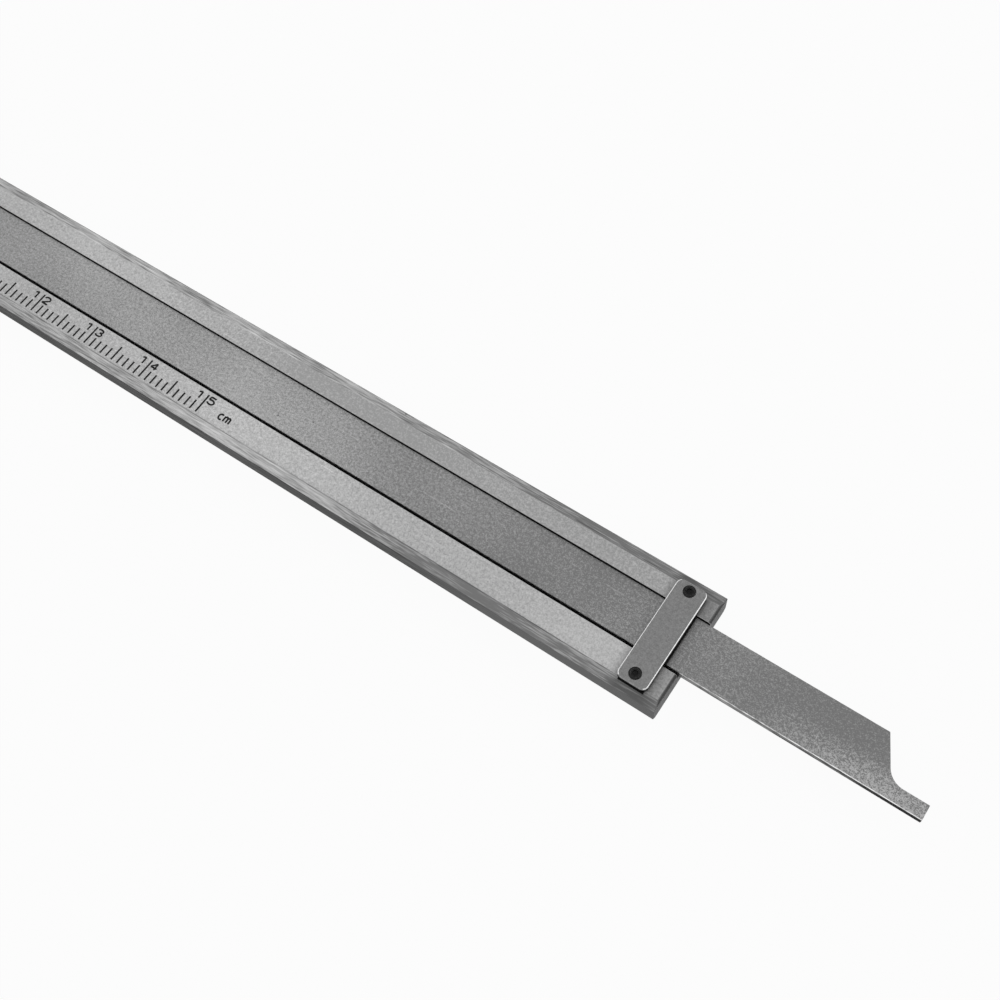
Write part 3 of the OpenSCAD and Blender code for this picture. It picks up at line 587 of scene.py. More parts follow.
@dataclass(frozen=True)
class SettledDirt:
    """Painted shade along the beam's bevels and next to its end plate, a group shared by every finish.

    Attributes:
        stretch: Scale of the painted shade's noise along each axis, per metre.
        low_line: The lower line's place across the beam, its half width in mm, and its strength.
        low_gaps: Noise where the lower line is broken, and where it is whole.
        high_line: The same for the upper line.
        high_gaps: Where the upper line is broken, and where it is whole.
        core: Share of a line's half width that is fully dirty.
        plate_left: Where the painted shade next to the plate begins.
        plate_right: Where it ends.
        plate_strength: Its strength.
    """

    stretch: Triple = (330.0, 4200.0, 1.0)
    low_line: Triple = (1.35, 0.1, 0.6)
    low_gaps: Pair = (0.3, 0.5)
    high_line: Triple = (15.3, 0.16, 0.65)
    high_gaps: Pair = (0.45, 0.6)
    core: float = 0.3
    plate_left: Zone = Zone("X", 213.4, 215.0)
    plate_right: Zone = Zone("X", 221.7, 218.4)
    plate_strength: float = 0.6

    def build(self) -> Tree:
        """Makes the group.

        Returns:
            A group that gives the painted shade's mask.
        """
        sheet = NodeSheet.group("painted_bevel_and_plate_shade", {"Float": ("Amount",)}, {"Float": ("Dirt",)})
        given = sheet.given()
        place = sheet.add("TexCoord").outputs["Object"]
        spot = sheet.add("SeparateXYZ", {0: place}).outputs
        noise = sheet.noise(sheet.stretched(place, scale=self.stretch), 1.0, 2.0)
        lines = []
        sides = ((self.low_line, self.low_gaps), (self.high_line, self.high_gaps))
        # Dark lines along both bevels, broken by noise: painted shade.
        for (level, half, strength), gaps in sides:
            away = sheet.math("ABSOLUTE", sheet.minus(spot["Y"], level * MM))
            line = sheet.times(sheet.spread(away, half * MM, half * MM * self.core), strength)
            lines.append(sheet.times(line, sheet.spread(noise, *gaps)))
        # The end plate's painted shadow, from under the plate out towards the beam's end.
        plate_shade = sheet.times(sheet.zone(spot, self.plate_right), sheet.zone(spot, self.plate_left))
        both = sheet.math("MAXIMUM", *lines)
        all_painted_shade = sheet.math("MAXIMUM", both, sheet.times(plate_shade, self.plate_strength))
        return sheet.put(Dirt=sheet.times(all_painted_shade, given["Amount"], clamp=True))


@dataclass(frozen=True)
class SurfaceTone:
    """A surface's colour and gloss out of its grain, marks and painted shade, a group shared by every
    finish.

    Attributes:
        scratched: Grey of a scratch.
        specked: Grey of a speck.
        dirty: Grey of the painted shade.
        scratch_gloss: How much smoother a scratch is.
    """

    scratched: float = 0.8
    specked: float = 0.05
    dirty: float = 0.03
    scratch_gloss: float = 0.12

    def build(self) -> Tree:
        """Makes the group.

        Returns:
            A group with the outputs Color and Roughness.
        """
        sheet = NodeSheet.group(
            "surface_tone",
            {"Color": ("Dark", "Light"), "Float": ("Tone", "Scratch", "Speck", "Dirt", "Gloss", "Swing")},
            {"Color": ("Color",), "Float": ("Roughness",)})
        given = sheet.given()
        colour = sheet.blend(given["Tone"], given["Dark"], given["Light"])
        # Scratches and specks are marks; the last mask lays on painted shade.
        for mask, tone in (("Scratch", self.scratched), ("Speck", self.specked), ("Dirt", self.dirty)):
            colour = sheet.blend(given[mask], colour, (*grey(tone), 1))
        away = sheet.times(sheet.minus(given["Tone"], 0.5), given["Swing"])
        rough = sheet.minus(given["Gloss"], away)
        shiny = sheet.minus(rough, sheet.times(given["Scratch"], self.scratch_gloss), clamp=True)
        return sheet.put(Color=colour, Roughness=shiny)


def new_material(name: str) -> tuple[Material, NodeSheet, bpy.types.Node]:
    """Starts a material.

    Args:
        name: Its name.

    Returns:
        The material, its sheet and its surface shader.
    """
    made = bpy.data.materials.new(name)
    made.use_nodes = True
    return made, NodeSheet(made.node_tree), made.node_tree.nodes["Principled BSDF"]


@dataclass(frozen=True)
class Finish:
    """A finish with grain, marks, a fine relief, and painted light and shade where their strengths are
    set.

    Attributes:
        name: Name of the material.
        dark: Its colour in the grain's low spots.
        light: Its colour in the grain's high spots.
        gloss: Its mean roughness.
        metal: 1 for bare or plated metal, 0 for paint and ink.
        patch: Size of the grain in mm.
        run: How many times longer the grain is along X than across.
        broad: Strength of the slow changes of tone along the piece.
        fade: How far its tone rises, or falls below 0, along X, as painted light and shade.
        fade_from: Where that begins, in mm.
        fade_to: Where that ends, in mm.
        upper: How far its tone rises, or falls below 0, on the beam's upper half, as painted shade.
        wear: Strength of the light patches near the depth bar's tip.
        dirt: Strength of the painted shade along the bevels and next to the end plate.
        swing: How far the roughness follows the grain.
        relief: Height of the grain in microns.
        scratches: Strength of the fine scratches.
        specks: Strength of the dark specks.
        mirror: Share of a clean surface's mirroring at a flat angle.
    """

    name: str
    dark: Triple
    light: Triple
    gloss: float
    metal: float = 1.0
    patch: float = 0.25
    run: float = 1.0
    broad: float = 0.5
    fade: float = 0.0
    fade_from: float = 176.0
    fade_to: float = 212.0
    upper: float = 0.0
    wear: float = 0.0
    dirt: float = 0.0
    swing: float = 0.1
    relief: float = 3.0
    scratches: float = 0.0
    specks: float = 0.0
    mirror: float = 1.0

    def material(self) -> Material:
        """Builds the material the first time.

        Returns:
            The material.
        """
        if self.name in bpy.data.materials:
            return bpy.data.materials[self.name]
        made, sheet, surface = new_material(self.name)
        # The grain group also lays on painted light along X and painted shade on the upper half.
        grain = sheet.shared("surface_grain", SurfaceGrain().build, {
            "Scale": 1 / (self.patch * MM), "Stretch": (1 / self.run, 1, 1), "Broad": self.broad,
            "Fade": self.fade, "Fade From": self.fade_from * MM, "Fade To": self.fade_to * MM,
            "Upper": self.upper, "Wear": self.wear})
        marks = sheet.shared("handling_marks", HandlingMarks().build, {
            "Scratches": self.scratches, "Specks": self.specks})
        # Painted shade along the bevels and next to the end plate.
        dirt = sheet.shared("painted_bevel_and_plate_shade", SettledDirt().build, {"Amount": self.dirt})
        tone = sheet.shared("surface_tone", SurfaceTone().build, {
            "Dark": (*self.dark, 1), "Light": (*self.light, 1), "Gloss": self.gloss, "Swing": self.swing,
            "Tone": grain["Tone"], "Scratch": marks["Scratch"], "Speck": marks["Speck"],
            "Dirt": dirt["Dirt"]})
        bump = sheet.add("Bump", {
            "Strength": 1.0, "Distance": self.relief * MICRON, "Height": grain["Height"]})
        sheet.feed(surface, {
            "Base Color": tone["Color"], "Roughness": tone["Roughness"], "Normal": bump.outputs[0],
            "Metallic": self.metal, "Specular Tint": (*grey(self.mirror), 1)})
        return made


@dataclass(frozen=True)
class ClearGlass:
    """The crystal's glass, which lets the lamps through to the dial.

    Attributes:
        name: Name of the material.
        ior: Its index of refraction.
        gloss: Its roughness.
    """

    name: str = "crystal_glass"
    ior: float = 1.45
    gloss: float = 0.01

    def material(self) -> Material:
        """Builds the material.

        Returns:
            The material.
        """
        made, sheet, surface = new_material(self.name)
        sheet.feed(surface, {
            "Base Color": WHITE, "Roughness": self.gloss, "Transmission Weight": 1.0, "IOR": self.ior})
        path = sheet.add("LightPath").outputs
        through = sheet.math("MAXIMUM", path["Is Shadow Ray"], path["Is Diffuse Ray"])
        clear = sheet.add("BsdfTransparent")
        mixed = sheet.add("MixShader", {0: through, 1: surface.outputs[0], 2: clear.outputs[0]})
        sheet.feed(made.node_tree.nodes["Material Output"], {"Surface": mixed.outputs[0]})
        return made


def neutral(name: str, dark: float, light: float, gloss: float, **rest: float) -> Finish:
    """Returns a finish in two greys, with any more of its attributes."""
    return Finish(name, grey(dark), grey(light), gloss, **rest)


@dataclass(frozen=True)
class Finishes:
    """Every finish of the instrument."""

    # Land: painted light rising along X, painted shade on the upper half, painted shade lines and plate
    # shadow.
    land: Finish = neutral(
        "satin_land", 0.28, 0.47, 0.42, patch=0.16, relief=2.0, broad=0.5, fade=0.15, upper=-0.4,
        scratches=0.35, dirt=1.0)
    # Bevel: painted shade deepening along X, and the painted shade lines and plate shadow.
    bevel: Finish = neutral(
        "ground_bevel", 0.17, 0.54, 0.38, patch=0.14, run=16, broad=0.8, fade=-0.45, fade_from=172.0,
        fade_to=196.0, relief=1.5, scratches=0.6, specks=0.6, dirt=0.8)
    # Sides: a near-black copy of the steel, painted shade on faces turned from the light, lightening along
    # X as painted light.
    side: Finish = neutral(
        "painted_shade_side", 0.015, 0.12, 0.4, patch=0.16, run=30, broad=0.6, fade=0.9, relief=1.5, mirror=0.6)
    # End face: a near-black copy of the steel, painted shade.
    end: Finish = neutral("painted_shade_end", 0.03, 0.09, 0.4, patch=0.16, run=0.2, relief=2.0, mirror=0.3)
    # Groove: a near-black copy of the steel, painted shade in the recess under the depth bar.
    groove: Finish = neutral("painted_shade_groove", 0.03, 0.07, 0.5, patch=0.2, run=8)
    lip: Finish = neutral("groove_lip", 0.3, 0.5, 0.36, patch=0.2, run=10, relief=1.0)
    # Depth bar top: painted shade deepening along X.
    matte: Finish = neutral(
        "matte_bar", 0.18, 0.415, 0.5, patch=0.14, relief=4.0, broad=0.7, fade=-0.4, fade_from=170.0,
        fade_to=200.0, wear=0.8, scratches=0.12, specks=0.6)
    # Depth bar sides: painted shade deepening towards the tip.
    bar_side: Finish = neutral(
        "bar_side", 0.05, 0.55, 0.4, patch=0.16, run=10, fade=-0.7, fade_from=232.0, fade_to=248.0,
        mirror=0.4)
    plate: Finish = neutral("rolled_plate", 0.155, 0.235, 0.42, patch=0.16, relief=2.0, broad=0.3)
    # The rolled edge in three copies of one steel: painted highlights on its left and right sides, painted
    # shade on its upper and lower rims.
    left_roll: Finish = neutral("rolled_left_painted_highlight", 0.8, 0.95, 0.3, patch=0.2, relief=1.0)
    roll: Finish = neutral("rolled_edge_painted_highlight", 0.6, 0.8, 0.3, patch=0.2, relief=1.0)
    dull: Finish = neutral("rolled_edge_painted_shade", 0.16, 0.3, 0.36, patch=0.2, relief=1.0)
    # A real stoned edge on the depth bar, with a painted highlight that brightens towards the tip.
    edge: Finish = neutral(
        "stoned_edge_painted_highlight", 0.02, 0.9, 0.3, patch=0.25, run=3, relief=1.0, broad=0.6, fade=0.5, fade_from=226.0,
        fade_to=242.0)
    satin: Finish = neutral("satin_chrome", 0.4, 0.52, 0.36, patch=0.16, relief=2.0, scratches=0.3)
    lapped: Finish = neutral("lapped_face", 0.44, 0.56, 0.22, patch=0.16, run=4, relief=0.8, scratches=0.5)
    polish: Finish = neutral("polished_chrome", 0.52, 0.66, 0.16, patch=0.5, relief=0.4, scratches=0.3)
    knurl: Finish = neutral("ridged_chrome", 0.3, 0.42, 0.3, patch=0.2, relief=1.5)
    screw: Finish = neutral("screw_steel", 0.28, 0.38, 0.3, patch=0.2, relief=1.5)
    # Real black oxide on the screws; on the plate's walls, underside, foot and seam it is painted shade.
    black: Finish = neutral("black_oxide_and_painted_shade", 0.008, 0.02, 0.38, patch=0.12, relief=2.0)
    worn_black: Finish = neutral("worn_black", 0.015, 0.06, 0.34, patch=0.15, relief=1.0)
    pin: Finish = neutral("hardened_pin", 0.3, 0.38, 0.28, patch=0.2, relief=1.0)
    brass: Finish = Finish(
        "turned_brass", (0.62, 0.42, 0.16), (0.75, 0.54, 0.24), 0.28, patch=0.2, relief=1.0)
    blued: Finish = Finish(
        "blued_steel", (0.015, 0.03, 0.12), (0.03, 0.06, 0.22), 0.25, patch=0.3, relief=0.5)
    ink: Finish = neutral("engraved_ink", 0.003, 0.01, 0.6, metal=0.0, patch=0.08, relief=2.0, mirror=0.3)
    dial: Finish = Finish(
        "dial_enamel", (0.78, 0.78, 0.76), (0.83, 0.83, 0.81), 0.45, metal=0.0, patch=0.15, relief=0.6,
        broad=0.1)
    pointer: Finish = neutral("pointer_black", 0.01, 0.02, 0.35, metal=0.0, patch=0.15, relief=1.0)
    glass: ClearGlass = ClearGlass()


def middle_mm(node: str) -> Vector:
    """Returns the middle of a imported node's box in mm."""
    low, high = box_mm(node)
    return (low + high) / 2


def coat(piece: Piece, base: Finish | ClearGlass, *others: tuple[Finish, Test]) -> None:
    """Gives a piece its finishes.

    Args:
        piece: The piece.
        base: The finish of every face that no test picks.
        others: More finishes, each with the test that picks its faces; the last that holds wins.
    """
    piece.data.materials.clear()
    for finish in (base, *(pair[0] for pair in others)):
        piece.data.materials.append(finish.material())
    for face in piece.data.polygons:
        face.material_index = 0
        for index, (_, test) in enumerate(others, start=1):
            if test(face.center / MM, face.normal):
                face.material_index = index


def soften(piece: Piece, width: float, edge: Finish, segments: int = 2, sharp: float = 35.0,
           where: Callable[[Vector], bool] = lambda spot: True) -> None:
    """Breaks the sharp outer edges of a piece, as stoning does.

    Args:
        piece: The piece, with its finishes on.
        width: Width of the broken edges in mm.
        edge: Their finish.
        segments: Steps around an edge.
        sharp: Least angle in degrees of an edge that is broken.
        where: Says of an edge's middle, in mm, whether it is broken.
    """
    mesh = bmesh.new()
    mesh.from_mesh(piece.data)
    layers = mesh.edges.layers.float
    weight = layers.get("bevel_weight_edge") or layers.new("bevel_weight_edge")
    for line in mesh.edges:
        middle = (line.verts[0].co + line.verts[1].co) / 2 / MM
        bent = line.is_convex and line.calc_face_angle(0.0) > math.radians(sharp)
        line[weight] = float(bent and where(middle))
    mesh.to_mesh(piece.data)
    mesh.free()
    piece.data.materials.append(edge.material())
    apply_modifier(
        piece, "BEVEL", width=width * MM, segments=segments, limit_method="WEIGHT",
        use_clamp_overlap=False, material=len(piece.data.materials) - 1)
    smooth(piece)


def hand_in(piece: Piece, body: Body, slot: str, *nodes: str) -> None:
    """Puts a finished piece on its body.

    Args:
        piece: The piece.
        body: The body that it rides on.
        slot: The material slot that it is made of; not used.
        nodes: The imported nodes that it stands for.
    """
    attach(piece, body.value)
    if nodes:
        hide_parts(*nodes)
    log.info("%s rides on %s, %d faces", piece.name, body.value, len(piece.data.polygons))


def dress(node: str, name: str, body: Body, slot: str, base: Finish, width: float, edge: Finish,
          *others: tuple[Finish, Test], merge: bool = True, **edges: object) -> None:
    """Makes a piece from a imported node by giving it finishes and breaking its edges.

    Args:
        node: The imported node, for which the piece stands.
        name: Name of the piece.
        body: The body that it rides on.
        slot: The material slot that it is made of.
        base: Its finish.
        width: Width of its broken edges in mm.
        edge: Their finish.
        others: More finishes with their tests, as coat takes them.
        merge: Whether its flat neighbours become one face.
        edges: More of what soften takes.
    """
    piece = copy_of(node, name, merge)
    coat(piece, base, *others)
    soften(piece, width, edge, **edges)
    hand_in(piece, body, slot, node)


def rule(forms: dict[Enum, Piece], marks: int, place: Callable[[int], Matrix], name: str) -> Piece:
    """Copies a scale's lines to its marks.

    Args:
        forms: One line of each kind, the kind with the longest step first.
        marks: Number of marks.
        place: Gives the move of a mark's line.
        name: Name of the result.

    Returns:
        The joined lines.
    """
    lines = []
    for mark in range(marks):
        kind = next(kind for kind in forms if mark % kind.value[0] == 0)
        lines.append(twin(forms[kind], f"line_{mark}", place(mark)))
    for form in forms.values():
        bpy.data.objects.remove(form)
    return join(lines, name)


def arc(centre: Pair, reach: Pair, start: float, end: float, step: float = 22.0) -> Path:
    """Draws an arc.

    Args:
        centre: Its centre in mm.
        reach: Its half width and half height in mm.
        start: Angle of its first point in degrees.
        end: Angle of its last point in degrees.
        step: Angle between its points, about, in degrees.

    Returns:
        Its points.
    """
    steps = max(2, round(abs(end - start) / step))
    turns = [math.radians(start + (end - start) * k / steps) for k in range(steps + 1)]
    return [(centre[0] + reach[0] * math.cos(t), centre[1] + reach[1] * math.sin(t)) for t in turns]


def cut_at_corners(path: Path, sharp: float = 0.7) -> list[Path]:
    """Cuts a path at its sharp corners.

    Args:
        path: Its points in mm.
        sharp: Least turn in radians of a corner that cuts it.

    Returns:
        Its parts.
    """
    parts = [[path[0]]]
    for before, here, after in zip(path, path[1:], path[2:]):
        parts[-1].append(here)
        into = Vector(here) - Vector(before)
        if into.angle(Vector(after) - Vector(here), 0.0) > sharp:
            parts.append([here])
    parts[-1].append(path[-1])
    return parts


def engraver_strokes() -> dict[str, list[Path]]:
    """Draws the middle lines of the beam's figures and unit.

    Returns:
        Their paths by what they say, in mm from their lower left corner.
    """
    six = [arc((0.5, 0.46), (0.5, 0.56), 50, 180), arc((0.5, 0.31), (0.5, 0.31), 180, 540)]
    arch = arc((0.23, 0.5), (0.23, 0.3), 180, 0)
    return {
        "0": [arc((0.5, 0.51), (0.5, 0.51), 0, 360)],
        "1": [[(0, 0.84), (0.48, 1.02), (0.48, 0)]],
        "2": [arc((0.5, 0.72), (0.48, 0.3), 175, -30) + [(0, 0), (1, 0)]],
        "3": [arc((0.47, 0.77), (0.44, 0.25), 160, -90), arc((0.47, 0.27), (0.5, 0.27), 85, -160)],
        "4": [[(0.72, 0), (0.72, 1.02), (0, 0.28), (1, 0.28)]],
        "5": [[(0.93, 1.02), (0.14, 1.02), (0.08, 0.56)] + arc((0.48, 0.33), (0.51, 0.33), 125, -158)],
        "6": six,
        "7": [[(0, 1.02), (1, 1.02), (0.35, 0)]],
        "8": [arc((0.5, 0.78), (0.4, 0.24), -90, 270), arc((0.5, 0.27), (0.5, 0.27), 90, 450)],
        "9": [[(1 - x, 1.02 - y) for x, y in path] for path in six],
        "cm": [
            arc((0.34, 0.4), (0.34, 0.4), 48, 312),
            [(0.9, 0.8), (0.9, 0)],
            [(0.9 + x, y) for x, y in arch] + [(1.36, 0)],
            [(1.36 + x * 0.9, y) for x, y in arch] + [(1.774, 0)],
        ],
    }


@dataclass(frozen=True)
class Lettering:
    """Numerals, units and scale lines in flat ink on one surface.

    Attributes:
        ink: Their finish.
        base: Height of the surface along Z in mm.
        sunk: How far the ink reaches into it, in mm.
        proud: How far the ink stands out, in mm.
        curve_steps: Steps along each curve of the font's letters.
        stroke: Width of an engraved figure's strokes in mm.
        stroke_steps: Steps in the rounding of a stroke's section.
        rim: Width of a line's worn rim in mm.
        rim_drop: How far a line's face lies below that rim, in mm.
    """

    ink: Finish
    base: float
    sunk: float = 0.02
    proud: float = 0.012
    curve_steps: int = 6
    stroke: float = 0.29
    stroke_steps: int = 2
    rim: float = 0.012
    rim_drop: float = 0.004

    def _lay(self, piece: Piece, at: Pair) -> None:
        """Moves a flat mesh from the origin to its place in the surface and inks it.

        Args:
            piece: The mesh.
            at: Its place in mm.
        """
        middle_z = self.base + (self.proud - self.sunk) / 2
        piece.data.transform(Matrix.Translation(Vector((*at, middle_z)) * MM))
        coat(piece, self.ink)

    def word(self, text: str, centre: Pair, height: float) -> Piece:
        """Makes one word or numeral in the font.

        Args:
            text: What it says.
            centre: Its middle in mm.
            height: Height of its figures in mm.

        Returns:
            The word as a mesh, with its place in the mesh.
        """
        deselect()
        bpy.ops.object.text_add(location=(0, 0, 0))
        piece = bpy.context.active_object
        piece.data.body = text
        # Any thickness does, because the mesh is scaled to the ink's below.
        piece.data.extrude = 0.5
        piece.data.resolution_u = self.curve_steps
        bpy.ops.object.convert(target="MESH")
        spots = [vert.co for vert in piece.data.vertices]
        low, high = (Vector([limit(axis) for axis in zip(*spots)]) for limit in (min, max))
        size = height * MM / (high.y - low.y)
        thick = (self.sunk + self.proud) * MM / (high.z - low.z)
        piece.data.transform(Matrix.Translation(-(low + high) / 2))
        piece.data.transform(Matrix.Diagonal((size, size, thick, 1)))
        self._lay(piece, centre)
        with editing(piece):
            bpy.ops.mesh.select_all(action="SELECT")
            bpy.ops.mesh.remove_doubles(threshold=LETTER_GAP)
            bpy.ops.mesh.normals_make_consistent(inside=False)
        return piece

    def figure(self, text: str, corner: Pair) -> Piece:
        """Makes one engraved figure or unit out of strokes of one width.

        Args:
            text: A key of the engraver's strokes.
            corner: Lower left corner of its middle lines in mm.

        Returns:
            The figure as a mesh, with its place in the mesh.
        """
        deselect()
        curve = bpy.data.curves.new("figure", "CURVE")
        curve.dimensions = "3D"
        curve.bevel_depth = self.stroke / 2 * MM
        curve.bevel_resolution = self.stroke_steps
        curve.use_fill_caps = True
        for path in (part for stroke in engraver_strokes()[text] for part in cut_at_corners(stroke)):
            spline = curve.splines.new("POLY")
            spline.points.add(len(path) - 1)
            for point, spot in zip(spline.points, path):
                point.co = (spot[0] * MM, spot[1] * MM, 0, 1)
        piece = bpy.data.objects.new("figure", curve)
        bpy.context.scene.collection.objects.link(piece)
        make_active(piece)
        bpy.ops.object.convert(target="MESH")
        piece.data.transform(Matrix.Diagonal((1, 1, (self.sunk + self.proud) / self.stroke, 1)))
        self._lay(piece, corner)
        return piece

    def line(self, low: Pair, high: Pair) -> Piece:
        """Makes one engraved line with a worn rim.

        Args:
            low: Its lowest X and Y in mm.
            high: Its highest X and Y in mm.

        Returns:
            The line.
        """
        piece = new_block("line", (*low, self.base - self.sunk), (*high, self.base + self.proud))
        with editing(piece):
            pick_top(piece)
            bpy.ops.mesh.inset(thickness=self.rim * MM, depth=0.0)
            bpy.ops.transform.translate(value=(0, 0, -self.rim_drop * MM))
        coat(piece, self.ink)
        return piece


@dataclass
class Beam:
    """The grooved beam with both fixed jaws and its scale.

    Attributes:
        finishes: The instrument's finishes.
        beam_w: Width of the beam in mm.
        face_gap: How far a face may lie below the front and still be part of it, in mm.
        side_band: Width of the strips along the beam that hold its sides, in mm.
        end_band: Length of the strip that holds its end, in mm.
        end_normal: Least X in the normals of the end and its chamfer.
        zero_band: How far the measuring faces may lie from the origin along X, in mm.
        groove_band: Strip across the beam that holds the groove, in mm.
        land_from: Where the front's finish begins along X, in mm.
        side_from: Where the sides' painted shade begins, past both fixed jaws, in mm.
        groove_from: Where the groove's painted shade begins, in mm.
        jaw_to: Where the jaws' broken edges end, in mm.
        lip_edge: Width of the groove's broken edges in mm.
        beam_edge: Width of the beam's in mm.
        jaw_edge: Width of the jaws' in mm.
        line_w: Width of the scale's lines in mm.
        line_foot: Lower end of every line on the beam in mm.
        scale_len: Length of the scale in mm.
        line_shift: Place of the scale's first line along X in mm.
        digit_y: Foot of the numerals in mm.
        left_digit: Left end of a number's first figure, from its line, in mm.
        right_digit: Left end of its last figure, from its line, in mm.
        unit_at: Lower left corner of the scale's unit in mm.
    """

    finishes: Finishes
    beam_w: float = 16.4
    face_gap: float = 0.01
    side_band: float = 0.3
    end_band: float = 0.4
    end_normal: float = 0.6
    zero_band: float = 0.1
    groove_band: Pair = (5.0, 12.6)
    land_from: float = 1.0
    side_from: float = 40.0
    groove_from: float = 4.0
    jaw_to: float = 0.5
    lip_edge: float = 0.04
    beam_edge: float = 0.06
    jaw_edge: float = 0.1
    line_w: float = 0.25
    line_foot: float = 1.7
    scale_len: int = 150
    line_shift: float = 0.12
    digit_y: float = 3.52
    left_digit: float = -1.48
    right_digit: float = 0.36
    unit_at: Pair = (153.2, 2.5)

    def build(self) -> None:
        """Makes every piece of the beam."""
        front = box_mm("end_plate")[0].z
        ink = Lettering(self.finishes.ink, front)
        self._body(front)
        self._scale(ink)
        self._numerals(ink)

    def _in_groove(self, spot: Vector) -> bool:
        """Says whether a place is in the groove's strip, past the head."""
        return spot.x > self.groove_from and self.groove_band[0] < spot.y < self.groove_band[1]

    def _on_side(self, spot: Vector) -> bool:
        """Says whether a place is on one of the long sides, past the jaws."""
        return spot.x > self.side_from and not self.side_band <= spot.y <= self.beam_w - self.side_band

    def _body(self, front: float) -> None:
        """Makes the beam with both fixed jaws.

        Args:
            front: Height of its front face in mm.
        """
        f = self.finishes
        end = box_mm("beam")[1].x
        level = front - self.face_gap
        piece = copy_of("beam", "beam_body")
        coat(
            piece, f.satin,
            (f.land, lambda c, n: n.z > SQUARE and c.z > level and c.x > self.land_from),
            (f.bevel, lambda c, n: SLOPED < n.z < SQUARE and c.x > 0),
            # The sides in a near-black copy of the steel: painted shade.
            (f.side, lambda c, n: n.z < UPRIGHT and self._on_side(c)),
            # The end face in painted shade.
            (f.end, lambda c, n: n.x > self.end_normal and c.x > end - self.end_band),
            # The groove in painted shade.
            (f.groove, lambda c, n: n.z > -SLOPED and c.z < level and self._in_groove(c)),
            (f.lapped, lambda c, n: abs(n.x) > SQUARE and abs(c.x) < self.zero_band))
        soften(piece, self.lip_edge, f.lip, where=self._in_groove)
        # The beam's broken edges outside the groove take the sides' painted shade.
        soften(
            piece, self.beam_edge, f.side,
            where=lambda c: c.x > self.groove_from and not self._in_groove(c))
        soften(piece, self.jaw_edge, f.polish, where=lambda c: c.x < self.jaw_to)
        hand_in(piece, Body.FRAME, "beam_steel", "beam")

    def _scale(self, ink: Lettering) -> None:
        """Makes the lines of the centimetre scale.

        Args:
            ink: The beam's ink.
        """
        forms = {
            kind: ink.line((-self.line_w / 2, self.line_foot), (self.line_w / 2, kind.value[1]))
            for kind in BeamLine
        }
        lines = rule(forms, self.scale_len + 1, self._along, "beam_scale_lines")
        hand_in(lines, Body.FRAME, "pointer_black")

    def _along(self, mark: int) -> Matrix:
        """Returns the move to a mark of the centimetre scale."""
        return Matrix.Translation(((self.line_shift + mark) * MM, 0, 0))

    def _numerals(self, ink: Lettering) -> None:
        """Makes the numbers of the centimetre scale and its unit.

        Args:
            ink: The beam's ink.
        """
        step = BeamLine.CENTIMETRE.value[0]
        words = []
        for number in range(1, self.scale_len // step + 1):
            text = str(number)
            line = number * step + self.line_shift
            if len(text) == 2:
                words.append(ink.figure(text[0], (line + self.left_digit, self.digit_y)))
            words.append(ink.figure(text[-1], (line + self.right_digit, self.digit_y)))
        words.append(ink.figure("cm", self.unit_at))
        hand_in(join(words, "beam_scale_numerals"), Body.FRAME, "pointer_black")


